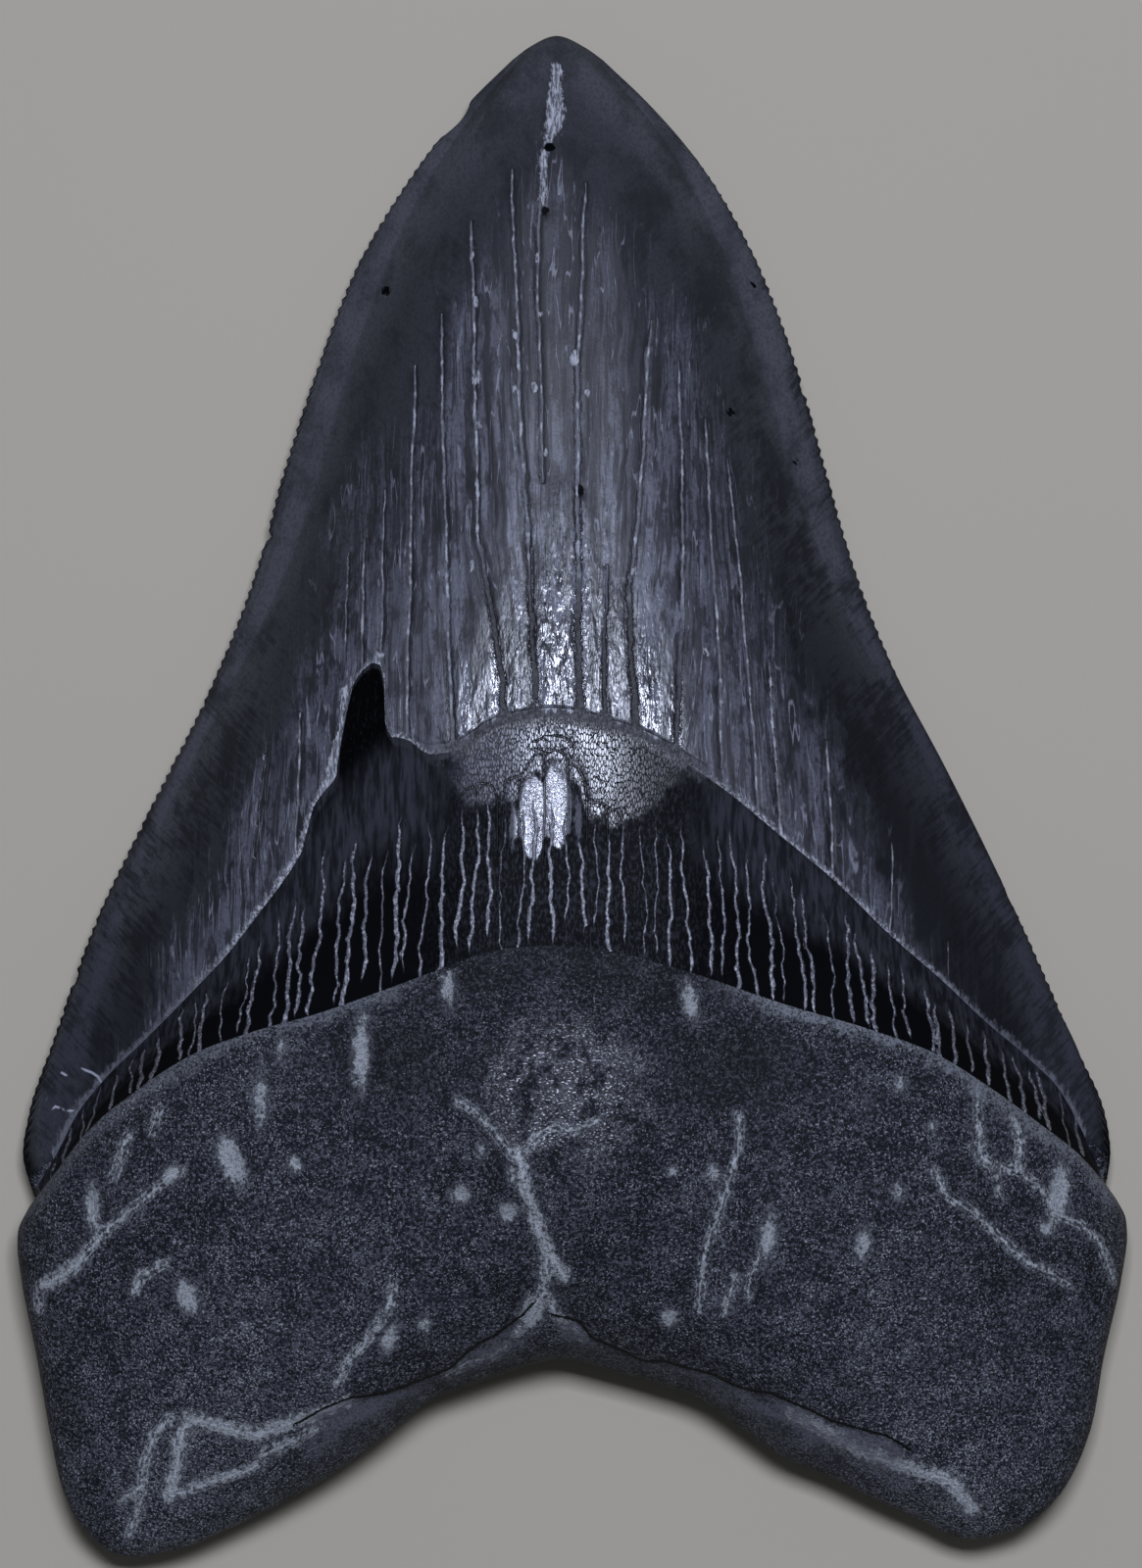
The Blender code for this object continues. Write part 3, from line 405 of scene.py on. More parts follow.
def profile(table, at):
    """Read a smooth height or width table, (place, value), at the given places."""
    places, values = np.array(table, float).T
    return curve_through(places, values, np.clip(at, places[0], places[-1]))


def along(points, share):
    """Points of the smooth line through the outline points, at shares of its length."""
    points = np.array(points, float)
    chords = np.concatenate(([0.0], np.cumsum(np.hypot(*np.diff(points, axis=0).T))))
    fine = np.linspace(0.0, chords[-1], LENGTH_SAMPLES)
    line = curve_through(chords, points, fine)
    length = np.concatenate(([0.0], np.cumsum(np.hypot(*np.diff(line, axis=0).T))))
    place = np.interp(np.asarray(share) * length[-1], length, fine)
    return curve_through(chords, points, place)


def across(points, u):
    """Points of a line across the tooth: x evenly with u, y read from the line."""
    x, y = np.array(points, float).T
    at = x[0] + u * (x[-1] - x[0])
    return np.stack([at, curve_through(x, y, at)], axis=-1)


def side_line(cutting_edge, notch, root_side, v):
    """Left or right outline at v: its cutting edge, then its notch, then its root side."""
    crown = along(cutting_edge, np.clip(v, 0, 1))
    band = along(notch, np.clip(v - 1, 0, 1))
    root = along(root_side, np.clip(v - 2, 0, 1))
    v = np.asarray(v)[..., None]
    return np.where(v <= 1, crown, np.where(v <= 2, band, root))


def left_line(v):
    return side_line(LEFT_CUTTING_EDGE, LEFT_NOTCH, LEFT_ROOT_SIDE, v)


def right_line(v):
    return side_line(RIGHT_CUTTING_EDGE, RIGHT_NOTCH, RIGHT_ROOT_SIDE, v)


def sheet_plan(u, v, lines):
    """Coons patch in (x, y) at every u, one a column, and v, a grid: the row lines blended down
    the tooth, plus the side lines blended across it, less the blend of the patch's four corners.
    lines are the sheet's enamel line and root line."""
    rows = np.stack([along(TIP_ARC, u)] + [across(line, u) for line in (*lines, BASE_CURVE)])
    ends = np.stack([left_line(np.arange(4.0)), right_line(np.arange(4.0))])
    patch = np.clip(v.astype(int), 0, 2)
    column = np.arange(len(u))[None, :]
    w = (v - patch)[..., None]
    s = u[None, :, None]
    down = (1 - w) * rows[patch, column] + w * rows[patch + 1, column]
    over = (1 - s) * left_line(v) + s * right_line(v)
    corners = ((1 - w) * ((1 - s) * ends[0][patch] + s * ends[1][patch])
               + w * ((1 - s) * ends[0][patch + 1] + s * ends[1][patch + 1]))
    return down + over - corners


def nicked(plan, u):
    """Draws points in towards the middle where a cutting edge is nicked: by the nick's depth
    times a smooth step of how near they are to its middle, fading with the square of the
    distance from the edge."""
    left = plan[..., 0].min(axis=-1, keepdims=True)
    right = plan[..., 0].max(axis=-1, keepdims=True)
    for side, centre, half_length, depth in EDGE_NICKS:
        off_edge = (u if side == "left" else 1 - u) * (right - left)
        along_edge = smooth_step(1 - np.abs(plan[..., 1] - centre) / half_length)
        draw = depth * along_edge * np.clip(1 - off_edge / NICK_REACH, 0, 1) ** 2
        plan[..., 0] += draw if side == "left" else -draw
    return plan


def around_chip(u, v):
    """Where each row runs, in v, once it gives way to the chip: by the chip's whole rise at the
    enamel line, and by nothing CHIP_REACH above it and at the root line."""
    x, y = across(ENAMEL_LINE, u).T
    rise = np.interp(x, *np.array(CHIP_RISE).T) / (TIP_ARC[0][1] - y)
    above = np.clip((v - 1 + CHIP_REACH) / CHIP_REACH, 0, 1)
    below = np.clip(2 - v, 0, 1)
    return v[:, None] - np.minimum(above, below)[:, None] * rise[None, :]


def straight(u, v):
    """Rows with nothing in their way."""
    return np.repeat(v[:, None], len(u), axis=1)


def swells(table, x, y):
    """Sum of round swells: height times exp(-(dx^2 + dy^2)), each measured in its half sizes."""
    total = np.zeros_like(x)
    for centre_x, centre_y, half_x, half_y, height in table:
        total += height * np.exp(-((x - centre_x) / half_x) ** 2 - ((y - centre_y) / half_y) ** 2)
    return total


def smooth_step(value):
    """0 below 0, 1 above 1, and 3t^2 - 2t^3 between."""
    t = np.clip(value, 0, 1)
    return t * t * (3 - 2 * t)


def tip_and_base_rounding(v, reach):
    """Quarter circles that bring a sheet down to its edge at the tip and, over reach, at the base."""
    tip = np.sqrt(1 - (1 - np.clip(v / TIP_ROUNDING, 0, 1)) ** 2)
    base = np.sqrt(1 - np.clip((v - 3 + reach) / reach, 0, 1) ** 2)
    return tip * base


def lingual_height(u, v, x, y, place):
    """Height of the upper sheet: edge height, plus the midline's height over it times a profile
    across the tooth. On the crown that profile is a shallow border and a rounded middle, and on
    the root a broad round, (1 - s^4)^0.5 easing down to the sides. v counts the rows and place
    is where they run, which differs around the chip."""
    s = np.abs(2 * u - 1)[None, :]
    inner = 1 - MARGIN_WIDTH / (profile(CROWN_HALF_WIDTH, y) + MARGIN_EASE)
    middle = np.clip(1 - (s / inner) ** MIDDLE_SPREAD, 0, 1) ** MIDDLE_POWER
    crown = MARGIN_SHARE * (1 - s * s) + (1 - MARGIN_SHARE) * middle
    root = np.sqrt(1 - s ** 4) * (1 - ROOT_SHOULDER * s * s)
    share = smooth_step((place - 1) / ROOT_ONSET)
    across_profile = (1 - share) * crown + share * root
    edge = np.interp(place, *np.array(EDGE_HEIGHT).T)
    rise = profile(LINGUAL_MIDLINE, y) + swells(LINGUAL_SWELLS, x, y) - edge
    body = edge + rise * across_profile * tip_and_base_rounding(place, LINGUAL_BASE_ROUNDING)
    past_enamel = np.clip((v[:, None] - 1) / STEP_V, 0, 1)
    past_root_line = np.clip((v[:, None] - 2) / STEP_V, 0, 1)
    step = profile(ROOT_STEP, x) * past_root_line * (3 - place)
    step -= profile(ENAMEL_STEP, x) * past_enamel * np.clip(2 - place, 0, 1)
    chip = CHIP_DEPTH * past_enamel * smooth_step((1 - place) / CHIP_EDGE)
    return body + (1 - s ** SIDE_FADE) * step - chip


def labial_height(u, v, x, y, place):
    """Height of the lower sheet: edge height, less its drop to the labial midline times a profile
    across the tooth, (1 - s^2.6)^0.8 on the crown and (1 - s^4)^0.5 on the root. What would reach
    below the resting plane is cut off flat there."""
    s = np.abs(2 * u - 1)[None, :]
    edge = np.interp(place, *np.array(EDGE_HEIGHT).T)
    share = smooth_step((place - 1) / ROOT_ONSET)
    crown = (1 - s ** LABIAL_SPREAD) ** LABIAL_POWER
    across_profile = (1 - share) * crown + share * np.sqrt(1 - s ** 4)
    drop = (edge - profile(LABIAL_MIDLINE, y)) * across_profile
    body = edge - drop * tip_and_base_rounding(place, LABIAL_BASE_ROUNDING)
    past_enamel = np.clip((v[:, None] - 1) / STEP_V, 0, 1)
    step = LABIAL_STEP * past_enamel * np.clip(3 - place, 0, 1) * (1 - s ** SIDE_FADE)
    return np.maximum(body + step + swells(LABIAL_SWELLS, x, y), 0.0)


def grain(table, x, y):
    """Soft uneven relief: for each (cell, height, seed) a lattice of random heights from -1 to 1,
    blended between its points with smooth steps, times the height."""
    total = np.zeros_like(x)
    for cell, height, seed in table:
        across_x, across_y = x / cell - GRAIN_CORNER[0] / cell, y / cell - GRAIN_CORNER[1] / cell
        count = int(GRAIN_EXTENT / cell) + 2
        lattice = np.random.default_rng(seed).uniform(-1, 1, (count, count))
        i, j = across_x.astype(int), across_y.astype(int)
        s, t = smooth_step(across_x - i), smooth_step(across_y - j)
        low = (1 - s) * lattice[i, j] + s * lattice[i + 1, j]
        high = (1 - s) * lattice[i, j + 1] + s * lattice[i + 1, j + 1]
        total += height * ((1 - t) * low + t * high)
    return total


def to_leg(x, y, start, end):
    """Distance in plan from each point to a leg, and the cross product of the leg's run with each
    point's offset from its start, whose sign tells the leg's two sides apart."""
    run_x, run_y = end[0] - start[0], end[1] - start[1]
    off_x, off_y = x - start[0], y - start[1]
    share = np.clip((off_x * run_x + off_y * run_y) / (run_x ** 2 + run_y ** 2), 0, 1)
    return np.hypot(off_x - share * run_x, off_y - share * run_y), run_x * off_y - run_y * off_x


def distance_to_path(x, y, path):
    """Distance in plan from each point to a path: the least of the distances to its legs."""
    return np.min([to_leg(x, y, start, end)[0] for start, end in zip(path[:-1], path[1:])], axis=0)


def hairlines(x, y, paths):
    """Distance from each point to the nearest path, and that distance with a sign that tells the
    path's two sides apart, which stays true between mesh points where a bare distance wouldn't."""
    nearest = np.full(x.shape, np.inf)
    signed = np.full(x.shape, FAR_AWAY)
    for path in paths:
        for start, end in zip(path[:-1], path[1:]):
            distance, turn = to_leg(x, y, start, end)
            side = np.where(turn < 0, -1.0, 1.0)
            signed = np.where(distance < nearest, side * distance, signed)
            nearest = np.minimum(nearest, distance)
    return nearest, signed


def fading(distance, reach):
    """1 on a line and less on both sides of it: exp(-(distance / reach)^2)."""
    return np.exp(-(distance / reach) ** 2)


def as_seen(x, y, z):
    """Where points appear from the camera on the plane of the outline, where the marks' places
    are given: drawn away from the view's middle by the ratio of the two distances."""
    far = VIEW_HEIGHT * LENS / SENSOR / MM
    ratio = far / (far - (z - OUTLINE_PLANE / MM))
    centre_x, centre_y = VIEW_CENTRE[0] / MM, VIEW_CENTRE[1] / MM
    return centre_x + (x - centre_x) * ratio, centre_y + (y - centre_y) * ratio


def inside_paths(x, y, paths):
    """How far each point lies inside the nearest streak: its half width less the distance."""
    return np.max([half_width - distance_to_path(x, y, path) for path, half_width in paths], axis=0)


def inside_patches(x, y, patches):
    """How far each point lies inside the nearest leaning oval, in millimetres, roughly."""
    depth = []
    for centre_x, centre_y, half_x, half_y, lean in patches:
        radius = np.hypot((x - centre_x - lean * (y - centre_y)) / half_x, (y - centre_y) / half_y)
        depth.append(half_x * (1 - radius))
    return np.max(depth, axis=0)


def inside_ovals(x, y, ovals):
    """How far each point lies inside the nearest upright oval, in millimetres, roughly."""
    return inside_patches(x, y, [oval + (0.0,) for oval in ovals])


def wander(y, count, seed):
    """Sideways straying of count lines at heights y: a sum of sine waves for each line, each with
    its own start and with a length of its own near the given one."""
    random = np.random.default_rng(seed)
    start = random.uniform(0, 2 * np.pi, (len(WANDER_WAVES), count, 1, 1))
    stretch = random.uniform(*WANDER_STRETCH, (len(WANDER_WAVES), count, 1, 1))
    lines = np.zeros((count,) + y.shape)
    for k, (length, share) in enumerate(WANDER_WAVES):
        lines += share * np.sin(2 * np.pi * y[None] / (length * stretch[k]) + start[k])
    return lines


def between_lines(lines, x):
    """Where each point lies among lines that run down the tooth, given by their x at every point:
    the number of the line to its left plus its share of the gap to the next, and that gap's
    width. A line is drawn where the first is a whole number."""
    order = np.arange(len(lines)).reshape(-1, 1, 1) * LEAST_GAP
    lines = np.maximum.accumulate(lines - order, axis=0) + order
    left = np.clip((lines <= x[None]).sum(axis=0) - 1, 0, len(lines) - 2)
    left_x = np.take_along_axis(lines, left[None], axis=0)[0]
    right_x = np.take_along_axis(lines, left[None] + 1, axis=0)[0]
    return left + (x - left_x) / (right_x - left_x), right_x - left_x


def between_guards(lines, x):
    """Where each point lies among lines and a guard outside the tooth on each side, and the number
    of the nearest line, counted with the guards."""
    guard = np.full((1,) + x.shape, GUARD)
    phase, gap = between_lines(np.concatenate([-guard, lines, guard]), x)
    return phase, gap, np.clip(np.rint(phase).astype(int), 0, len(lines) + 1)


def with_guards(values):
    """One value for each line, and 0 for both guards."""
    return np.concatenate([[0.0], values, [0.0]])


def crack_field(x, y):
    """Phase, gap and half width of the crown's long cracks at each point, and the strand that the
    point lies in: the phase, carried on evenly past the outermost cracks."""
    paths = [np.array(path, float)[::-1] for path, _, _ in CRACKS]
    lines = np.stack([np.interp(y, path[:, 1], path[:, 0]) for path in paths])
    lines += CRACK_WANDER * wander(y, len(lines), CRACK_SEED)
    phase, gap, nearest = between_guards(lines, x)
    top = with_guards([path[-1, 1] for path in paths])[nearest]
    foot = with_guards([path[0, 1] for path in paths])[nearest]
    top_width = with_guards([crack[1] for crack in CRACKS])[nearest]
    foot_width = with_guards([crack[2] for crack in CRACKS])[nearest]
    down = np.clip((top - y) / np.maximum(top - foot, 1.0), 0, 1)
    fade_in = smooth_step((top + CRACK_FADE / 2 - y) / CRACK_FADE)
    ends = fade_in * smooth_step((y - foot + CRACK_FADE) / CRACK_FADE)
    beyond = np.minimum(x - lines[0], 0) + np.maximum(x - lines[-1], 0)
    strand = np.clip(phase, 1, len(lines)) + beyond / STRAND_WIDTH
    return phase, gap, (top_width + (foot_width - top_width) * down ** 2) * ends, strand


def comb_field(x, y, place):
    """Phase, gap and half width of the ridges that cross the bourlette's lower part."""
    random = np.random.default_rng(COMB_SEED)
    spacing = (COMB_ENDS[1] - COMB_ENDS[0]) / (COMB_RIDGES - 1)
    start = np.linspace(*COMB_ENDS, COMB_RIDGES)
    start += COMB_SCATTER * spacing * random.uniform(-1, 1, COMB_RIDGES)
    width = random.uniform(*COMB_HALF_WIDTH, COMB_RIDGES)
    foot = np.interp(start, *np.array(ROOT_LINE).T).reshape(-1, 1, 1)
    start = start.reshape(-1, 1, 1)
    lines = start + COMB_LEAN * start / COMB_ENDS[1] * (foot - y[None])
    lines += COMB_WANDER * wander(y, COMB_RIDGES, COMB_SEED + 1)
    phase, gap, nearest = between_guards(lines, x)
    width = with_guards(width)[nearest]
    stagger = with_guards(random.uniform(-COMB_STAGGER, COMB_STAGGER, COMB_RIDGES))[nearest]
    end = with_guards(random.uniform(*COMB_FOOT, COMB_RIDGES))[nearest]
    top = np.interp(x, *np.array(COMB_TOP).T) + stagger - COMB_EARLY
    fade_in = smooth_step((place - 1 - top) / COMB_FADE[0])
    onset = fade_in * smooth_step((end - place + 1) / COMB_FADE[1])
    least, added = COMB_WIDENING
    return phase, gap, width * onset * (least + added * np.clip(place - 1, 0, 1))


def line_clearance(plan, u):
    """Distance of each crown point above the enamel line, square to it: the drop to the column's
    foot times the cosine of the line's slope there."""
    x, y = across(ENAMEL_LINE, u).T
    slope = np.gradient(y, x)
    return (plan[..., 1] - plan[-1:, :, 1]) / np.hypot(1, slope)[None, :]


def root_depth(plan, y):
    """Distance of each root point below the root line, square to it: the drop from the column's
    head times the cosine of the line's slope there."""
    slope = np.gradient(plan[0, :, 1], plan[0, :, 0])
    return (plan[:1, :, 1] - y) * np.cos(np.arctan(slope))[None, :]


def lower_rim(x, y):
    """1 below the cracks of the root's lower rim and 0 elsewhere, with smooth steps between."""
    below = np.zeros_like(x)
    for path in LOWER_RIM_CRACKS:
        path_x, path_y = np.array(path).T
        within = smooth_step((x - path_x[0]) / LOWER_RIM_END)
        within = within * smooth_step((path_x[-1] - x) / LOWER_RIM_END)
        drop = np.interp(x, path_x, path_y) - y
        below = np.maximum(below, within * smooth_step(drop / LOWER_RIM_EASE))
    return below


def away_from_ends(u, v, line, fades):
    """0 at a line that starts a sheet, at its sides and at its base, and 1 inside, with a smooth
    step over each of the three fades."""
    below_line, from_side, above_base = fades
    edge = np.minimum(u, 1 - u)[None, :]
    start = smooth_step((v[:, None] - line - STEP_V) / below_line)
    return start * smooth_step(edge / from_side) * smooth_step((3 - v[:, None]) / above_base)


def crown_marks(u, v, place, plan, x, y):
    """Relief and marks of the crown."""
    above = line_clearance(plan, u)
    phase, gap, width, strand = crack_field(x, y)
    crust = inside_paths(x, y, CROWN_STREAKS)
    pits = inside_ovals(x, y, CROWN_PITS)
    hair_near, hair = hairlines(x, y, CROWN_HAIRLINES)
    clear = smooth_step(above / LINE_CALM)
    lip = LIP_HEIGHT * fading(above - LIP_WIDTH, LIP_WIDTH) * smooth_step(np.abs(x) / LIP_CALM)
    from_crack = np.abs(phase - np.rint(phase)) * gap
    groove = -CRACK_GROOVE * fading(from_crack, GROOVE_REACH) * np.clip(width / FULL_CRACK, 0, 1) * clear
    relief = grain(CROWN_GRAIN, x, y) * clear * smooth_step(v[:, None] / TIP_CALM) + lip + groove
    pitted = PIT_DEPTH * smooth_step(pits / PIT_EASE)
    relief += CRUST_HEIGHT * smooth_step(crust / CRUST_EASE + 0.5) - pitted
    return relief, {
        "above line": above, "crack phase": phase, "crack gap": gap, "crack width": width,
        "strand": strand, "crust": crust, "bead": inside_ovals(x, y, CROWN_BEADS), "pit": pits,
        "hair near": hair_near, "hairline": hair, "down band": np.zeros_like(x),
        "crackle line": np.full_like(x, CRACKLE_AT_LINE)}


def band_marks(u, v, place, plan, x, y):
    """Relief and marks of the bourlette and of the chip's floor."""
    phase, gap, width = comb_field(x, y, place)
    seam_near, seam = hairlines(x, y, PLATE_SEAMS)
    from_ridge = np.abs(phase - np.rint(phase)) * gap
    ridge = COMB_HEIGHT * fading(from_ridge, COMB_REACH) * np.clip(width / FULL_RIDGE, 0, 1)
    relief = ridge - PLATE_SEAM_DEPTH * fading(seam_near, SEAM_REACH) + grain(BAND_GRAIN, x, y)
    below_enamel, above_root = BAND_FADES
    clear = smooth_step((v[:, None] - 1 - STEP_V) / below_enamel)
    clear = clear * smooth_step((2 - v[:, None]) / above_root)
    return relief * clear, {
        "comb phase": phase, "comb gap": gap, "comb width": width, "hair near": seam_near,
        "hairline": seam, "plate": inside_ovals(x, y, BRIGHT_PLATES),
        "crackle line": y - np.interp(x, *np.array(CRACKLE_FOOT).T),
        "chip": y - curve_through(*np.array(ENAMEL_LINE).T, x),
        "down band": np.repeat(v[:, None] - 1, len(u), 1), "below line": np.zeros_like(x)}


def root_marks(u, v, place, plan, x, y):
    """Relief and marks of the root. The boss and the hollows are the swells' own rounds, 1 at
    their middles."""
    veins = inside_paths(x, y, ROOT_VEINS)
    crack_near, crack = hairlines(x, y, LOWER_RIM_CRACKS)
    core_near, core = hairlines(x, y, [path for path, _ in ROOT_VEINS])
    below_rim = lower_rim(x, y)
    relief = grain(ROOT_GRAIN, x, y) - LOWER_RIM_DROP * below_rim - swells(ROOT_PITS, x, y)
    rim_crack = RIM_CRACK_DEPTH * fading(crack_near, RIM_CRACK_REACH)
    relief += VEIN_HEIGHT * smooth_step(veins / CRUST_EASE + 0.5) - rim_crack
    boss, hollows = LINGUAL_SWELLS[:1], LINGUAL_SWELLS[1:3]
    return relief * away_from_ends(u, v, 2, ROOT_FADES), {
        "vein": veins, "patch": inside_patches(x, y, ROOT_PATCHES), "core near": core_near,
        "core": core, "hair near": crack_near, "hairline": crack,
        "below rim": below_rim * smooth_step((3 - v[:, None]) / LOWER_RIM_BASE),
        "below line": root_depth(plan, y),
        "boss": swells(boss, plan[..., 0], plan[..., 1]) / boss[0][4],
        "hollow": swells(hollows, plan[..., 0], plan[..., 1]) / hollows[0][4]}


def labial_marks(u, v, place, plan, x, y):
    """Relief of the labial face: uneven stone below its enamel line, none where it rests. Its
    enamel has strands of one width."""
    relief = np.abs(grain(ROOT_GRAIN, x, y)) * away_from_ends(u, v, 1, LABIAL_FADES)
    return relief, {"strand": x / STRAND_WIDTH}


def inward(line, v):
    """Unit vectors square to a side line, pointing into the tooth (given at the left side)."""
    run = line(np.minimum(v + NUDGE, 1 - NUDGE)) - line(np.maximum(v - NUDGE, 0.0))
    run /= np.hypot(*run.T)[:, None]
    return np.stack([-run[:, 1], run[:, 0]], axis=1)


def cutting_edge(line, facing):
    """One serrated edge: it is drawn in between serrations by a raised cosine of the place along
    it, times a depth that varies from one to the next and fades at the tip and at the crown's
    corner, and nowhere reaches the first column of points."""
    count = SERRATIONS * POINTS_A_SERRATION
    v = np.arange(1, count) / count
    wear = np.random.default_rng(WEAR_SEED).uniform(*SERRATION_WEAR, SERRATIONS + 1)
    wear = wear[(v * SERRATIONS).astype(int)]
    fade = np.clip((v - WORN_TIP) / WORN_TIP, 0, 1) * np.clip((1 - v) / WORN_CORNER, 0, 1)
    depth = SERRATION_DEPTH * wear * fade * (0.5 - 0.5 * np.cos(2 * np.pi * v * SERRATIONS))
    room = SERRATION_ROOM * CROWN_SIDE_COLUMN * (right_line(v) - left_line(v))[:, 0]
    edge = line(v) + facing * inward(line, v) * np.minimum(depth, room)[:, None]
    pair = np.stack([left_line(v), right_line(v)], axis=1)
    own = 0 if facing > 0 else 1
    pair[:, own] = edge
    return v, nicked(pair, np.array([0.0, 1.0]))[:, own]


def outline_loop(columns):
    """The shared outline, clockwise from the left end of the tip arc: its points, their v, and
    how far round each one is, 0 to 4 (tip, right side, base, left side)."""
    root_side = 2 + np.arange(ROOT_SIDE_STEPS) / ROOT_SIDE_STEPS
    notch_and_root = np.concatenate(([1.0, NOTCH_MIDDLE], root_side))
    left_v, left = cutting_edge(left_line, 1)
    right_v, right = cutting_edge(right_line, -1)
    tip_u = np.linspace(0, 1, TIP_STEPS + 1)
    v = np.concatenate([np.zeros(len(tip_u)), right_v, notch_and_root, np.full(len(columns), 3.0),
                        notch_and_root[::-1], left_v[::-1]])
    points = [along(TIP_ARC, tip_u), right, right_line(notch_and_root),
              across(BASE_CURVE, columns[::-1]), left_line(notch_and_root)[::-1], left[::-1]]
    turn = [tip_u, 1 + right_v / 3, 1 + notch_and_root / 3, 3 - columns[::-1],
            4 - notch_and_root[::-1] / 3, 4 - left_v[::-1] / 3]
    height = np.interp(v, *np.array(EDGE_HEIGHT).T)
    return np.column_stack([np.concatenate(points), height]), v, np.concatenate(turn)


def grid_faces(index):
    """Two triangles for each cell of a grid of point numbers."""
    a, b = index[:-1, :-1].ravel(), index[:-1, 1:].ravel()
    c, d = index[1:, 1:].ravel(), index[1:, :-1].ravel()
    return np.concatenate([np.column_stack([a, d, c]), np.column_stack([a, c, b])])


def zip_faces(first, first_place, second, second_place):
    """Triangles between two rows of unlike counts, the second on the right of the first: each
    step of either row is joined to the point that the other has reached at that step's middle."""
    first_middle = (first_place[1:] + first_place[:-1]) / 2
    second_middle = (second_place[1:] + second_place[:-1]) / 2
    reached_second = np.searchsorted(second_middle, first_middle, side="left")
    reached_first = np.searchsorted(first_middle, second_middle, side="right")
    wide = np.column_stack([first[1:], first[:-1], second[reached_second]])
    narrow = np.column_stack([second[:-1], second[1:], first[reached_first]])
    return np.concatenate([wide, narrow])


def beside(points, turn, loop, loop_turn):
    """How far round the loop each point lies, given that roughly: the turn of the loop's nearest
    point in reach, kept from ever running back."""
    gaps = np.hypot(points[:, :1] - loop[:, 0], points[:, 1:2] - loop[:, 1])
    gaps += np.where(np.abs(loop_turn - turn[:, None]) < TURN_REACH, 0.0, np.inf)
    return np.maximum.accumulate(loop_turn[gaps.argmin(axis=1)])


class Surface:
    """The tooth's points, marks and faces, gathered sheet by sheet."""

    def __init__(self):
        self.points, self.marks, self.faces, self.finishes, self.count = [], [], [], [], 0

    def add_points(self, points, marks):
        numbers = np.arange(len(points)) + self.count
        self.points.append(points)
        self.marks.append(marks)
        self.count += len(points)
        return numbers

    def add_faces(self, faces, finish):
        self.faces.append(faces)
        self.finishes.append(np.full(len(faces), finish))

    def add_grid(self, u, v, lines, height, run, marks_of):
        """One patch as a grid: plan, then height, then the relief of its own marks."""
        place = run(u, v)
        plan = nicked(sheet_plan(u, place, lines), u)
        body = height(u, v, plan[..., 0], plan[..., 1], place)
        relief, marks = marks_of(u, v, place, plan, *as_seen(plan[..., 0], plan[..., 1], body))
        z = np.maximum(body + relief, 0.0)
        marks = {name: values.ravel() for name, values in marks.items()}
        marks["row"] = place.ravel()
        points = np.concatenate([plan, z[..., None]], axis=-1).reshape(-1, 3)
        return self.add_points(points, marks).reshape(len(v), len(u))

    def values(self, name, elsewhere):
        """A mark at every point, with a plain value where a sheet doesn't have it."""
        return np.concatenate([marks.get(name, np.full(len(points), elsewhere))
                               for points, marks in zip(self.points, self.marks)])


def border(grids, u, v_of):
    """Point numbers round a sheet of grids that lie one under another, clockwise from its first
    corner and back to it, and roughly how far round each one is, 0 to 4."""
    down, v = np.arange(len(grids)), np.concatenate(v_of)
    numbers = np.concatenate([grids[0][0]] + [grids[k][:, -1] for k in down] + [grids[-1][-1, ::-1]]
                             + [grids[k][::-1, 0] for k in down[::-1]])
    turns = np.concatenate([u[0], 1 + v / 3, 3 - u[-1][::-1], 4 - v[::-1] / 3])
    fresh = np.append(True, numbers[1:] != numbers[:-1])
    return numbers[fresh], turns[fresh]


def even_columns(count, side=SIDE_COLUMN):
    """Even columns inside the outline, the first and last of them close to its sides."""
    even = np.linspace(0, 1, count + 1)[1:-1]
    even = even[(even > SIDE_CLEARANCE * side) & (even < 1 - SIDE_CLEARANCE * side)]
    return np.concatenate([[side], even, [1 - side]])


def chip_columns(count):
    """Even columns, but narrow ones across the chip."""
    even = even_columns(count, CROWN_SIDE_COLUMN)
    left, right = ENAMEL_LINE[0][0], ENAMEL_LINE[-1][0]
    start, end = CHIP_RISE[0][0], CHIP_RISE[-1][0]
    narrow = (np.arange(start, end, CHIP_COLUMN) - left) / (right - left)
    clear = (even < narrow[0] - CHIP_CLEARANCE) | (even > narrow[-1] + CHIP_CLEARANCE)
    return np.sort(np.concatenate([even[clear], narrow]))


def root_rows(count):
    """Rows down the root, closer and closer towards the base: a quarter sine."""
    return 2 + STEP_V + (1 - STEP_V) * np.sin(np.linspace(0, np.pi / 2, count + 1)[:-1])


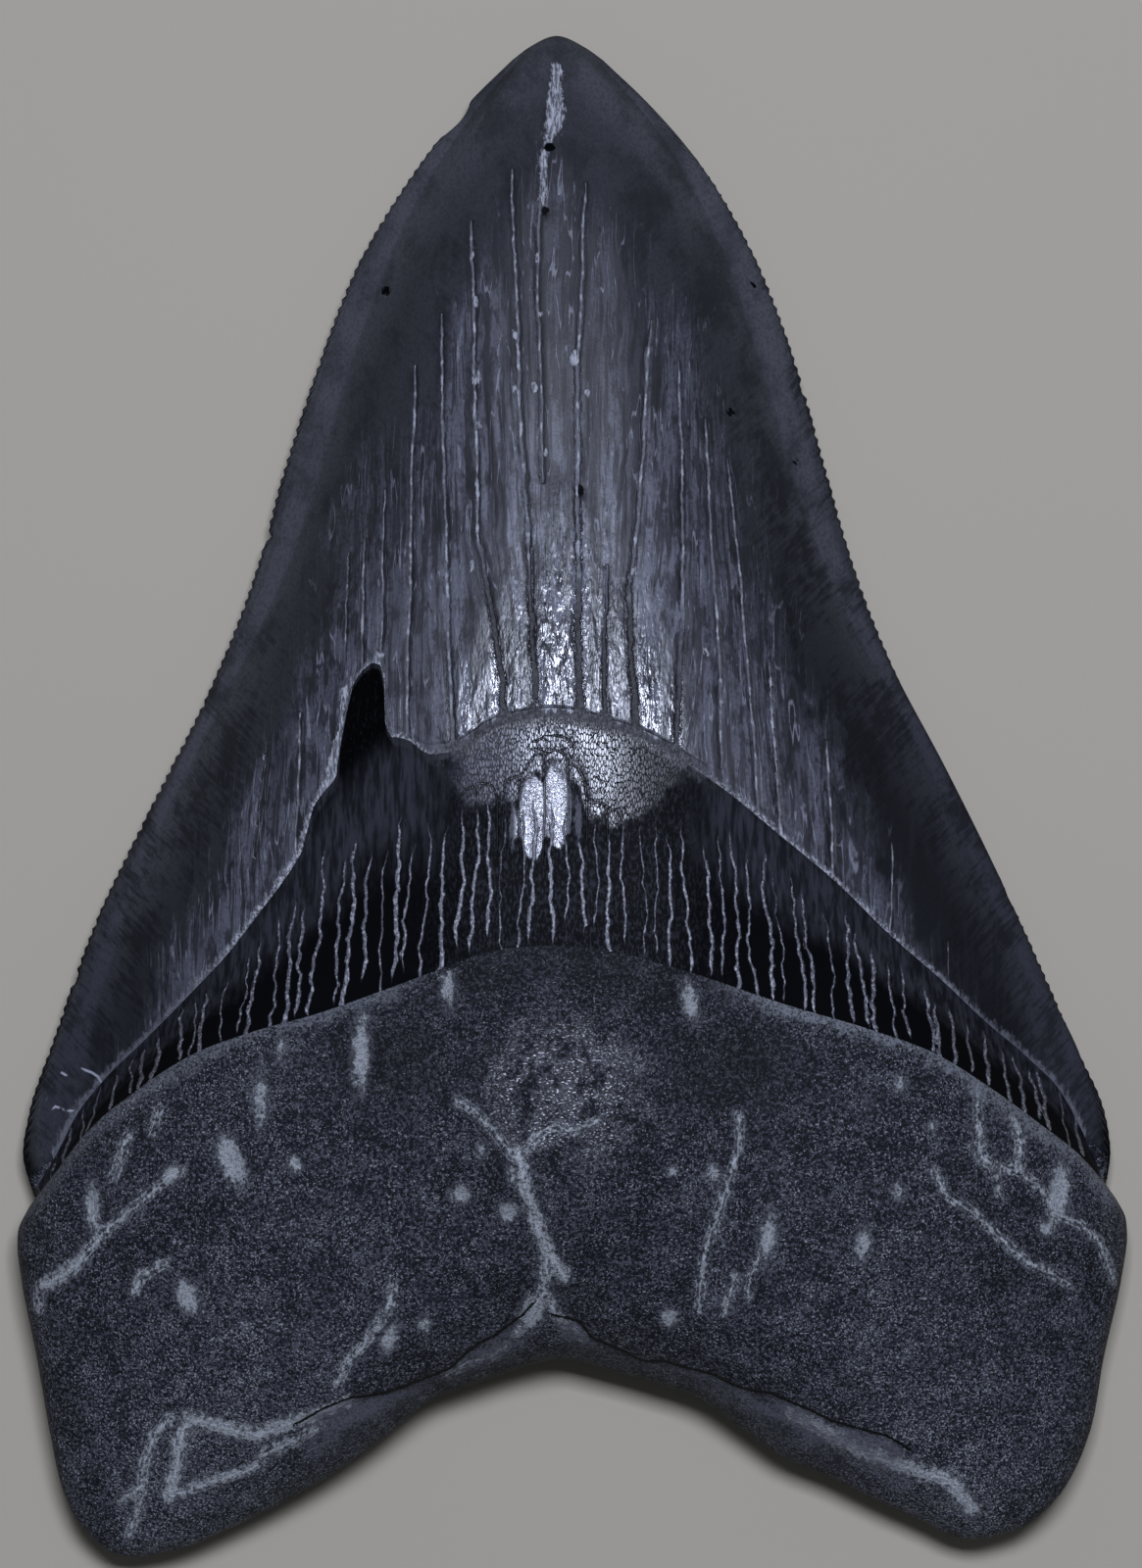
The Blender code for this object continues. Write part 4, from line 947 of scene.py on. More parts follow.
def tooth_surface():
    """The whole tooth: three lingual grids and a labial pair, zipped to each other and to the
    outline that both sides share."""
    surface = Surface()
    crown_u = chip_columns(CROWN_COLUMNS)
    band_u, root_u = even_columns(BAND_COLUMNS), even_columns(ROOT_COLUMNS)
    crown_v = np.linspace(0, 1, CROWN_ROWS + 1)[1:]
    band_v = np.linspace(1 + STEP_V, 2, BAND_ROWS)
    root_v = root_rows(ROOT_ROWS)
    upper = (ENAMEL_LINE, ROOT_LINE)
    rim, rim_v, rim_turn = outline_loop(np.concatenate([[0.0], root_u, [1.0]]))
    rim_numbers = surface.add_points(rim, {"row": rim_v})
    crown = surface.add_grid(crown_u, crown_v, upper, lingual_height, around_chip, crown_marks)
    band = surface.add_grid(band_u, band_v, upper, lingual_height, around_chip, band_marks)
    root = surface.add_grid(root_u, root_v, upper, lingual_height, around_chip, root_marks)
    for grid, finish in ((crown, CROWN), (band, BAND), (root, ROOT)):
        surface.add_faces(grid_faces(grid), finish)
    surface.add_faces(zip_faces(crown[-1], crown_u, band[0], band_u), BAND)
    surface.add_faces(zip_faces(band[-1], band_u, root[0], root_u), ROOT)

    lower = (LABIAL_ENAMEL_LINE, LABIAL_ROOT_LINE)
    lower_u = even_columns(LABIAL_COLUMNS, CROWN_SIDE_COLUMN)
    lower_v = np.concatenate([np.linspace(0, 1, LABIAL_CROWN_ROWS + 1)[1:], [1 + STEP_V, 2.0],
                              root_rows(LABIAL_ROOT_ROWS)])
    labial = surface.add_grid(lower_u, lower_v, lower, labial_height, straight, labial_marks)
    labial_crown, labial_root = labial[:LABIAL_CROWN_ROWS], labial[LABIAL_CROWN_ROWS - 1:]
    surface.add_faces(grid_faces(labial_crown)[:, ::-1], CROWN)
    surface.add_faces(grid_faces(labial_root)[:, ::-1], ROOT)

    loop, loop_turn = np.append(rim_numbers, rim_numbers[0]), np.append(rim_turn, 4.0)
    rim_v = surface.values("row", 0.0)
    points = np.concatenate(surface.points)
    lingual_sheet = border([crown, band, root], [crown_u, band_u, root_u], [crown_v, band_v, root_v])
    labial_sheet = border([labial], [lower_u], [lower_v])
    for (sheet, turn), flip in ((lingual_sheet, False), (labial_sheet, True)):
        turn = beside(points[sheet], turn, rim, rim_turn)
        side = zip_faces(loop, loop_turn, sheet, turn)
        side = side[:, ::-1] if flip else side
        on_crown = rim_v[side].max(axis=1) <= 1.0 + STEP_V / 2
        surface.add_faces(side[on_crown], CROWN)
        surface.add_faces(side[~on_crown], ROOT)
    return surface


def edge_distance(x, y):
    """Distance in plan to the nearer cutting edge."""
    return np.minimum(distance_to_path(x, y, LEFT_CUTTING_EDGE),
                      distance_to_path(x, y, RIGHT_CUTTING_EDGE))


class Finish:
    """A procedural material, built node by node on the object's own coordinates."""

    def __init__(self, name):
        self.material = bpy.data.materials.new(name)
        self.material.use_nodes = True
        self.tree = self.material.node_tree
        self.shader = self.tree.nodes["Principled BSDF"]
        self.coordinates = self.tree.nodes.new("ShaderNodeTexCoord").outputs["Object"]

    def node(self, kind, inputs=(), **settings):
        node = self.tree.nodes.new(kind)
        for name, value in settings.items():
            setattr(node, name, value)
        for key, value in dict(inputs).items():
            if isinstance(value, bpy.types.NodeSocket):
                self.tree.links.new(value, node.inputs[key])
            elif value is not None:
                node.inputs[key].default_value = value
        return node

    def mark(self, name):
        """A point attribute of the mesh."""
        return self.node("ShaderNodeAttribute", attribute_name=name).outputs["Fac"]

    def math(self, operation, a, b=None, c=None):
        return self.node("ShaderNodeMath", {0: a, 1: b, 2: c}, operation=operation).outputs[0]

    def size(self, value):
        """The value without its sign."""
        return self.math("ABSOLUTE", value)

    def less(self, a, b):
        """a less b."""
        return self.math("SUBTRACT", a, b)

    def together(self, operation, values):
        """The first value, with each of the others joined to it in turn."""
        total = values[0]
        for value in values[1:]:
            total = self.math(operation, total, value)
        return total

    def most(self, *values):
        return self.together("MAXIMUM", values)

    def add(self, *values):
        return self.together("ADD", values)

    def times(self, *values):
        return self.together("MULTIPLY", values)

    def rise(self, value, low, high, start=0.0, end=1.0):
        """From start to end as value goes from low to high, smoothly."""
        inputs = {"Value": value, "From Min": low, "From Max": high, "To Min": start, "To Max": end}
        return self.node("ShaderNodeMapRange", inputs, interpolation_type="SMOOTHSTEP").outputs["Result"]

    def graded(self, share, start, end):
        """From start to end as a share goes from none to all."""
        return self.rise(share, 0.0, 1.0, start, end)

    def swing(self, noise, amount):
        """A noise's departure from its middle value, times an amount."""
        return self.times(self.add(noise, -0.5), amount)

    def frayed(self, ragged, low, high):
        """From low to high with most of a noise's range, for a ragged edge."""
        return self.rise(ragged, 0.25, 0.75, low, high)

    def stretched(self, x, y, z=1.0):
        """Object coordinates counted in cells of x by y by z millimetres."""
        inputs = {"Vector": self.coordinates, "Scale": (1 / (x * MM), 1 / (y * MM), 1 / (z * MM))}
        return self.node("ShaderNodeMapping", inputs).outputs["Vector"]

    def joined(self, x, y, z=0.0):
        return self.node("ShaderNodeCombineXYZ", {0: x, 1: y, 2: z}).outputs["Vector"]

    def coordinate(self, axis):
        return self.node("ShaderNodeSeparateXYZ", {"Vector": self.coordinates}).outputs[axis]

    def height_along(self, cell):
        """The place down the tooth, counted in cells of so many millimetres."""
        return self.math("DIVIDE", self.coordinate("Y"), cell * MM)

    def noise(self, vector, scale=1.0, detail=2.0, roughness=0.5, distortion=0.0):
        inputs = {"Vector": vector, "Scale": scale, "Detail": detail, "Roughness": roughness,
                  "Distortion": distortion}
        return self.node("ShaderNodeTexNoise", inputs).outputs["Fac"]

    def from_joints(self, vector):
        """Distance to the nearest joint between cells of random shape."""
        inputs = {"Vector": vector, "Scale": 1.0, "Randomness": 1.0}
        return self.node("ShaderNodeTexVoronoi", inputs, feature="DISTANCE_TO_EDGE").outputs["Distance"]

    def blend(self, share, a, b):
        """A colour between a and b."""
        node = self.node("ShaderNodeMix", {0: share, 6: a, 7: b}, data_type="RGBA")
        return node.outputs[2]

    def done(self, colour, roughness, height, shine):
        """Colour, roughness and shine from their nodes, and height in millimetres as bump."""
        bump = self.node("ShaderNodeBump", {"Height": height, "Distance": MM, "Strength": 1.0})
        links = {"Base Color": colour, "Roughness": roughness, "Specular IOR Level": shine,
                 "Normal": bump.outputs["Normal"]}
        for key, value in links.items():
            self.tree.links.new(value, self.shader.inputs[key])
        return self.material


def stone(level, blue=1.2, green=1.02):
    """A stone grey with its blue cast."""
    return (level, level * green, level * blue, 1.0)


# The three finishes. Each keeps the marks and noises that its parts share in one namespace, s.
# Marks give distances in millimetres, and x is in metres. A rise gives the two values between
# which something comes or goes, and the noises lie mostly between 0.3 and 0.7.


def enamel_patterns(f):
    """The enamel's streaks and hairs, which run with its strands, its blotches and its grit."""
    strand = f.mark("strand")
    s = SimpleNamespace(
        above=f.mark("above line"), from_edge=f.mark("edge distance"),
        aside=f.mark("centre distance"), x=f.coordinate("X"),
        streaks=f.noise(f.joined(strand, f.height_along(50.0)), 1.7, 3.0, 0.65),
        fine_streaks=f.noise(f.joined(strand, f.height_along(48.0), 3.0), 5.0, 3.0, 0.65),
        ragged=f.noise(f.stretched(0.35, 0.9, 0.5), 1.0, 3.0, 0.7),
        mottle=f.noise(f.stretched(5.0, 7.0, 5.0), 1.0, 5.0, 0.65),
        blotch=f.noise(f.stretched(1.3, 3.4, 2.0), 1.0, 4.0, 0.7),
        grit=f.noise(f.stretched(0.22, 0.3, 0.3), 1.0, 2.0, 0.6))
    hairs = f.noise(f.joined(strand, f.height_along(40.0), 7.0), 5.0, 1.0, 0.5)
    s.hair_share = f.noise(f.joined(strand, f.height_along(5.0), 9.0), 2.5, 2.0, 0.6)
    s.dark_hairs = f.times(f.rise(f.size(f.add(hairs, -0.44)), 0.03, 0.008),
                           f.rise(s.hair_share, 0.42, 0.6))
    s.light_hairs = f.times(f.rise(f.size(f.add(hairs, -0.55)), 0.022, 0.006),
                            f.rise(s.hair_share, 0.6, 0.48))
    return s


def enamel_middle(f, s):
    """How much of the pale middle shows. Its uneven border runs along the cutting edges, further
    out on the right and low on the left, and further in low on the crown."""
    border = f.add(s.from_edge, f.swing(s.fine_streaks, 4.0), f.swing(s.streaks, 4.0),
                   f.swing(s.blotch, 8.0), f.swing(s.mottle, 6.0))
    low = f.rise(s.above, 34.0, 12.0, 0.0, -2.2)
    right = f.rise(s.x, 6.0 * MM, 18.0 * MM, 0.0, 2.8)
    left = f.times(f.rise(s.x, -10.0 * MM, -20.0 * MM, 0.0, 4.0), f.rise(s.above, 40.0, 24.0))
    return f.rise(f.add(border, low, right, left), 6.8, 10.8)


def margin_colour(f, s):
    """Charcoal, greyer along the cutting edges, partly as a painted sheen, and towards the tip, with
    slanting dark fibres.
    """
    slant = f.height_along(1.0)
    along_fibre = f.times(f.add(s.aside, slant), 0.4)
    across_fibre = f.times(f.less(s.aside, slant), 1.9)
    fibres = f.noise(f.joined(along_fibre, across_fibre), 1.0, 4.0, 0.65)
    high = f.add(s.above, f.rise(s.x, 0.0, -14.0 * MM, 0.0, 14.0))
    inner = f.blend(f.rise(high, 8.0, 30.0), stone(0.011, 1.25), stone(0.034, 1.15))
    # Greyer along the cutting edges: partly the stone's own grey, partly a painted sheen where the flat
    # border faces the light.
    edge_grey_and_sheen = f.blend(f.rise(high, 15.0, 35.0), stone(0.035, 1.25), stone(0.065, 1.12))
    colour = f.blend(f.rise(s.from_edge, 1.5, 5.5), edge_grey_and_sheen, inner)
    fibrous = f.add(s.mottle, f.swing(fibres, f.rise(high, 24.0, 44.0, 0.7, 0.15)))
    dark = f.times(f.rise(fibrous, 0.42, 0.64), f.rise(high, 24.0, 44.0, 0.75, 0.5))
    colour = f.blend(dark, colour, stone(0.007, 1.25))
    return f.blend(f.rise(s.fine_streaks, 0.5, 0.66, 0.0, 0.12), colour, stone(0.045, 1.25))


def middle_colour(f, s):
    """Two greys in streaks, palest low in the middle, partly as a painted highlight, then dark
    streaks and blotches, and dark and light hairs."""
    # Partly painted highlight: the pale middle is palest low down and narrows sideways where the light's
    # highlight falls, over the enamel's own paler grey.
    highlit_pale = f.blend(f.rise(s.above, 14.0, 28.0), stone(0.145, 1.26), stone(0.058, 1.24))
    pale = f.blend(f.rise(s.aside, 12.0, 2.0), stone(0.095, 1.26), highlit_pale)
    dull = f.blend(f.rise(s.aside, 4.0, 12.0), stone(0.028, 1.25), stone(0.065, 1.25))
    streaks = f.add(s.streaks, f.rise(s.aside, 5.0, 12.0, 0.0, -0.04))
    colour = f.blend(f.rise(streaks, 0.42, 0.54), dull, pale)
    dark = f.blend(f.rise(s.aside, 4.0, 12.0), stone(0.008), stone(0.018))
    colour = f.blend(f.rise(s.fine_streaks, 0.5, 0.57, 0.0, 0.8), colour, dark)
    blotches = f.add(s.blotch, f.rise(s.above, 30.0, 44.0, 0.0, 0.08))
    colour = f.blend(f.rise(blotches, 0.49, 0.6, 0.0, 0.75), colour, stone(0.012))
    colour = f.blend(f.times(s.dark_hairs, 0.85), colour, stone(0.012))
    return f.blend(f.times(s.light_hairs, 0.75), colour, stone(0.21))


def with_cracks(f, s, colour):
    """The crown's long cracks: a painted shadow on the right of each, a stain round it, and a grey
    filling, which is even below and beaded above."""
    crack_width = f.mark("crack width")
    absent = f.rise(crack_width, 0.03, 0.0, 0.0, 3.0)
    from_line = f.swing(f.math("FRACT", f.add(f.mark("crack phase"), 0.5)), f.mark("crack gap"))
    width = f.times(crack_width, f.frayed(s.ragged, 0.3, 1.45))
    s.crack = f.add(f.size(from_line), f.times(width, -1.0), absent)
    s.filled = f.rise(s.crack, 0.045, -0.045)
    s.low = f.times(f.rise(s.above, 15.0, 8.0), f.rise(s.aside, 10.5, 8.0))
    s.beads = f.noise(f.stretched(1.2, 1.1, 1.0), 1.0, 2.0, 0.5)

    # Painted shadow: a dark line just to the right of each crack, as if cast by its edge.
    outline = f.add(f.size(f.add(from_line, f.times(width, -1.0), -0.12)), absent)
    painted_shadow = f.times(f.rise(outline, 0.12, 0.03), f.rise(s.hair_share, 0.3, 0.55, 0.3, 0.85))
    around = f.add(f.size(from_line), absent)
    stained = f.times(f.rise(around, 0.8, 0.1), f.rise(s.blotch, 0.42, 0.58, 0.0, 0.7))
    # The painted shadow and the real stain round each crack, darkened together.
    colour = f.blend(f.most(painted_shadow, stained), colour, stone(0.012))
    beaded = f.blend(f.rise(s.beads, 0.46, 0.68), stone(0.13, 1.15), stone(0.36, 1.12))
    even = f.blend(f.rise(s.grit, 0.35, 0.65), stone(0.042, 1.05), stone(0.08, 1.02, 0.98))
    return f.blend(s.filled, colour, f.blend(s.low, beaded, even))


def with_lip(f, s, colour):
    """The rough crust along the enamel line: grey in the middle and pale on the flanks, and wider
    where a crack comes down to it."""
    dull = f.blend(f.rise(s.grit, 0.38, 0.62), stone(0.045, 1.05), stone(0.1, 1.08))
    pale = f.blend(f.rise(s.grit, 0.4, 0.6), stone(0.1, 1.1), stone(0.45, 1.1))
    pale = f.blend(f.rise(s.aside, 24.0, 34.0), pale, stone(0.13, 1.15))
    lip = f.blend(f.rise(s.aside, 8.0, 16.0), dull, pale)
    at_crack = f.times(f.rise(s.crack, 0.7, 0.0), s.low, 0.9)
    end = f.add(f.rise(s.aside, 6.0, 18.0, 0.4, 0.22),
                f.swing(s.ragged, f.rise(s.aside, 6.0, 18.0, 2.0, 1.3)), at_crack)
    s.lip = f.rise(f.less(s.above, end), 0.25, -0.25)
    return f.blend(s.lip, colour, lip)


def with_mineral(f, s, colour):
    """Pale crusts, beads and hairlines on the enamel, and black pits in it."""
    crust = f.add(f.mark("crust"), f.frayed(s.ragged, -0.4, 0.2))
    bead = f.add(f.mark("bead"), f.frayed(s.ragged, -0.12, 0.12))
    s.crusted = f.most(f.rise(crust, -0.1, 0.15), f.rise(bead, 0.0, 0.1))
    fibres = f.noise(f.stretched(0.16, 1.1, 0.4), 1.0, 3.0, 0.7)
    crust_colour = f.blend(f.rise(fibres, 0.38, 0.62), stone(0.09, 1.15), stone(0.4, 1.1))
    colour = f.blend(s.crusted, colour, crust_colour)
    hair = f.times(f.rise(f.size(f.mark("hairline")), 0.14, 0.05),
                   f.rise(f.mark("hair near"), 0.35, 0.2))
    colour = f.blend(hair, colour, stone(0.3, 1.15))
    s.pitted = f.rise(f.add(f.mark("pit"), f.frayed(s.ragged, -0.1, 0.1)), 0.0, 0.12)
    return f.blend(s.pitted, colour, stone(0.002))


def enamel_gloss(f, s):
    """Roughness and shine: a glossy skin between the cracks low in the middle, satin enamel round
    it, and dull fillings, crusts and pits."""
    s.clearance = f.math("SMOOTH_MIN", s.crack, f.less(s.above, 0.7), 0.5)
    reach = f.add(s.above, f.times(s.blotch, 8.0), f.times(s.aside, 1.1))
    s.skin = f.times(f.rise(s.clearance, 0.0, 0.12), f.rise(reach, 29.0, 11.0), f.rise(s.aside, 13.0, 7.0))
    matte = f.most(s.filled, s.lip, s.crusted, s.pitted)
    roughness = f.graded(s.skin, f.graded(s.middle, 0.6, 0.4), 0.19)
    roughness = f.add(roughness, f.rise(s.fine_streaks, 0.4, 0.66, -0.02, 0.1),
                      f.rise(s.streaks, 0.56, 0.42, -0.03, 0.12),
                      f.times(f.rise(s.aside, 2.0, 8.0), f.rise(s.above, 10.0, 18.0), 0.16))
    satin = f.times(s.middle, f.rise(s.aside, 3.0, 9.0, 0.5, 0.3))
    shine = f.times(f.graded(f.most(s.skin, satin), 0.07, 0.75), f.graded(matte, 1.0, 0.3))
    return f.graded(matte, roughness, 0.8), shine


def enamel_relief(f, s):
    """The serrations' ends, the skin's crumples, the streaks and hairs, the edges of the cracks,
    and the crusts, pits, fillings and lip."""
    serration = f.math("SINE", f.times(f.mark("serration"), 2 * np.pi))
    crumple = f.noise(f.stretched(0.32, 1.1, 0.5), 1.0, 2.0, 0.5, 0.6)
    lumps = f.noise(f.stretched(0.8, 2.6, 1.0), 1.0, 2.0, 0.5)
    return f.add(
        f.times(serration, f.rise(s.from_edge, 0.6, 0.0, 0.0, 0.04)),
        f.times(crumple, f.graded(s.skin, 0.006, 0.05), f.rise(s.blotch, 0.4, 0.6, 0.4, 1.5)),
        f.times(lumps, s.skin, 0.22),
        f.times(s.fine_streaks, s.middle, 0.035),
        f.times(s.dark_hairs, s.skin, -0.03),
        f.times(s.light_hairs, s.middle, 0.03),
        f.rise(s.clearance, -0.05, 0.35, 0.0, 0.07),
        f.times(s.crusted, 0.06),
        f.times(s.pitted, -0.2),
        f.times(s.grit, f.graded(s.lip, 0.008, 0.1)),
        f.times(s.filled, s.beads, 0.04))


def crown_finish():
    """Fossil enamel: charcoal margins, a paler streaked middle, filled cracks, and a glossy
    crumpled skin between them towards the enamel line."""
    f = Finish("fossil enamel")
    s = enamel_patterns(f)
    s.middle = enamel_middle(f, s)
    colour = f.blend(s.middle, margin_colour(f, s), middle_colour(f, s))
    colour = f.blend(f.rise(s.grit, 0.42, 0.66, 0.0, 0.35), colour, stone(0.015))
    colour = with_mineral(f, s, with_lip(f, s, with_cracks(f, s, colour)))
    roughness, shine = enamel_gloss(f, s)
    return f.done(colour, roughness, enamel_relief(f, s), shine)


def band_patterns(f):
    """The bourlette's marks and noises."""
    return SimpleNamespace(
        down=f.mark("down band"), aside=f.mark("centre distance"), x=f.coordinate("X"),
        ragged=f.noise(f.stretched(0.35, 0.8, 0.5), 1.0, 3.0, 0.7),
        glints=f.noise(f.stretched(0.22, 0.3, 0.4), 1.0, 2.0, 0.5),
        grit=f.noise(f.stretched(0.2, 0.5, 0.3), 1.0, 3.0, 0.65),
        broad=f.noise(f.stretched(1.4, 2.0, 1.4), 1.0, 3.0, 0.6),
        streaked=f.noise(f.stretched(0.4, 3.0, 1.0), 1.0, 3.0, 0.6),
        wrinkle=f.noise(f.stretched(0.22, 0.36, 0.4), 1.0, 3.0, 0.6, 0.6))


def band_parts(f, s):
    """How much shows of each part: the comb's ridges, the crackle with its cells, the plates with
    their seams, the crust under the enamel line, the side slopes and the chip."""
    comb_width = f.mark("comb width")
    from_ridge = f.times(f.math("PINGPONG", f.mark("comb phase"), 0.5), f.mark("comb gap"))
    width = f.times(comb_width, f.frayed(s.ragged, 0.5, 1.5))
    s.ridge = f.times(f.rise(f.less(from_ridge, width), 0.06, -0.05), f.rise(comb_width, 0.0, 0.06))
    over = f.add(f.mark("crackle line"), f.swing(s.broad, 3.0), f.rise(s.aside, 5.0, 11.0, 0.0, -0.4),
                 f.swing(s.ragged, 2.4))
    s.crackled = f.times(f.rise(over, -0.8, 0.4),
                         f.rise(f.add(s.aside, f.swing(s.broad, 4.0)), 10.5, 6.5))
    from_joint = f.from_joints(f.stretched(0.18, 0.52, 0.5))
    s.cell = f.rise(f.add(from_joint, f.swing(s.glints, 0.3)), 0.0, 0.16)
    plate = f.rise(f.add(f.mark("plate"), f.frayed(s.ragged, -0.12, 0.1)), -0.05, 0.1)
    s.plate = f.times(plate, f.less(1.0, s.crackled))
    # Core of the highlight on the plates: they are glossier there, and painted paler as a highlight.
    s.bright = f.rise(f.size(f.add(s.x, PLATES_MIDDLE * -MM)), 2.4 * MM, 1.9 * MM, 0.25, 1.0)
    s.seam = f.times(f.rise(f.size(f.mark("hairline")), 0.13, 0.04),
                     f.rise(f.mark("hair near"), 0.45, 0.3))
    s.crust = f.times(f.rise(f.add(s.down, f.swing(s.ragged, 0.22)), 0.06, -0.01),
                      f.rise(s.aside, 16.0, 10.0))
    s.slope = f.times(f.rise(f.add(s.down, f.swing(s.broad, 0.3)), 0.62, 0.3),
                      f.rise(s.aside, 7.5, 13.0))
    s.chip = f.rise(f.mark("chip"), -1.0, 3.0)
    s.central = f.rise(s.aside, 14.0, 5.0)
    s.glossy = f.most(s.crackled, f.times(s.plate, s.bright))


def band_colour(f, s):
    """Nearly black, with each part in its own greys over it, and painted highlight and glints on the
    crackle, plates and ridges.
    """
    colour = f.blend(f.times(s.central, f.rise(s.grit, 0.46, 0.64)), stone(0.0015, 1.4), stone(0.022, 1.3))
    # Crackle cells pale left of the middle and dark to the right: partly the cells' own grey, partly a
    # painted highlight where the light falls. The glints noise adds painted glints to them.
    cells = f.blend(f.rise(s.x, -3.0 * MM, 3.0 * MM), stone(0.1, 1.28), stone(0.009, 1.3))
    crackle = f.blend(f.times(s.cell, f.rise(s.glints, 0.3, 0.6, 0.5, 1.0)), stone(0.004), cells)
    colour = f.blend(s.crackled, colour, crackle)
    # Painted highlight: the plates are palest, nearly white, in the highlight's core, over their own dark
    # grey.
    plates = f.blend(f.times(f.rise(s.wrinkle, 0.34, 0.5), s.bright), stone(0.03, 1.25), stone(0.2, 1.2))
    colour = f.blend(s.seam, f.blend(s.plate, colour, plates), stone(0.006))
    crust = f.blend(f.rise(s.grit, 0.4, 0.6), stone(0.04, 1.05), stone(0.09, 1.08))
    colour = f.blend(s.crust, colour, crust)
    slopes = f.blend(f.rise(s.streaked, 0.36, 0.64), stone(0.009, 1.3), stone(0.03, 1.25))
    colour = f.blend(s.slope, colour, slopes)
    # Pale mineral ridges. Their palest spots, under the glints noise, are painted glints.
    ridges = f.blend(f.rise(s.glints, 0.48, 0.68), stone(0.075, 1.25), stone(0.32, 1.12))
    colour = f.blend(s.ridge, colour, ridges)
    return f.blend(f.times(s.chip, f.rise(s.grit, 0.5, 0.7, 1.0, 0.8)), colour, stone(0.0015))


def band_gloss(f, s):
    """Roughness and shine: glossy plates and crackle, satin ridges and crust, the rest dull."""
    polish = f.graded(f.times(s.plate, s.bright), f.rise(s.aside, 2.5, 7.0, 0.27, 0.52), 0.16)
    roughness = f.graded(s.glossy, f.graded(s.central, 0.85, 0.62), polish)
    roughness = f.graded(f.most(s.ridge, s.crust, f.times(s.seam, 0.8)), roughness, 0.45)
    dull_shine = f.graded(f.most(s.ridge, f.times(s.central, 0.12)), 0.05, 0.5)
    shine = f.times(f.graded(s.glossy, dull_shine, 0.55), f.graded(s.chip, 1.0, 0.1))
    return f.graded(s.chip, roughness, 0.7), shine


def band_relief(f, s):
    """The crackle's cells, the plates' wrinkles and seams, the slopes' streaks, the ridges and
    the bare stone's grit."""
    bare = f.times(f.less(1.0, s.glossy), f.rise(s.aside, 18.0, 12.0))
    return f.add(
        f.times(s.cell, s.crackled, 0.05),
        f.times(s.wrinkle, f.graded(s.plate, 0.012, 0.05)),
        f.times(s.seam, -0.08),
        f.times(s.slope, s.streaked, 0.06),
        f.times(s.ridge, 0.08),
        f.times(s.ridge, s.glints, 0.05),
        f.times(s.grit, bare, 0.05))


def band_finish():
    """Bourlette: a crackled upper part with a few plates that are painted bright round the highlight,
    and a dark lower part crossed by a comb of pale ridges with painted glints."""
    f = Finish("bourlette")
    s = band_patterns(f)
    band_parts(f, s)
    roughness, shine = band_gloss(f, s)
    return f.done(band_colour(f, s), roughness, band_relief(f, s), shine)


def root_patterns(f):
    """The root's marks and noises."""
    s = SimpleNamespace(
        aside=f.mark("centre distance"), below=f.mark("below line"), boss=f.mark("boss"),
        cloud=f.noise(f.stretched(5.0, 5.0, 5.0), 1.0, 5.0, 0.65),
        speckle=f.noise(f.stretched(0.15, 0.15, 0.15), 1.0, 1.0, 0.5),
        flecks=f.noise(f.stretched(0.28, 0.28, 0.28), 1.0, 3.0, 0.7),
        density=f.noise(f.stretched(2.2, 2.2, 2.2), 1.0, 5.0, 0.75),
        ragged=f.noise(f.stretched(0.42, 0.6, 0.5), 1.0, 5.0, 0.85))
    s.grains = f.rise(f.add(f.times(s.speckle, 0.5), f.times(s.flecks, 0.5)), 0.4, 0.52, 0.15, 1.0)
    return s


def speckled_stone(f, s):
    """Dark stone, clouded and flecked, with a pale speckle that is denser on the lobes. It is
    darkest in the hollows beside the boss, as painted shade, and under the middle of the root line."""
    lobes = f.times(f.rise(s.aside, 14.0, 32.0), f.rise(s.below, 10.0, 28.0))
    under_line = f.times(f.rise(s.below, 7.0, 0.5), f.rise(s.aside, 16.0, 8.0))
    # Painted shade in the hollows beside the boss, together with the darker stone under the middle of the
    # root line. Both also thin the speckle.
    dark = f.most(f.mark("hollow"), under_line)
    clouds = f.add(f.rise(s.cloud, 0.38, 0.66, 0.0, 0.5), f.times(lobes, 0.6))
    colour = f.blend(clouds, stone(0.009, 1.6, 1.08), stone(0.025, 1.35, 1.05))
    patchy = f.add(s.flecks, f.swing(s.density, 0.18), f.swing(s.cloud, 0.12))
    colour = f.blend(f.rise(patchy, 0.51, 0.6, 0.0, 0.85), colour, stone(0.075, 1.25, 1.05))
    colour = f.blend(f.rise(patchy, 0.49, 0.42, 0.0, 0.9), colour, stone(0.003, 1.6, 1.08))
    threshold = f.add(f.rise(s.density, 0.3, 0.7, 0.66, 0.56), f.times(lobes, -0.06), f.times(dark, 0.03))
    speck = f.times(f.rise(f.less(s.speckle, threshold), 0.0, 0.1), f.rise(s.flecks, 0.35, 0.6, 0.5, 1.0))
    colour = f.blend(speck, colour, stone(0.26, 1.1, 1.05))
    # The painted shade of the hollows, and the dark under the root line, laid over the stone.
    return f.blend(f.times(dark, 0.5), colour, stone(0.005))


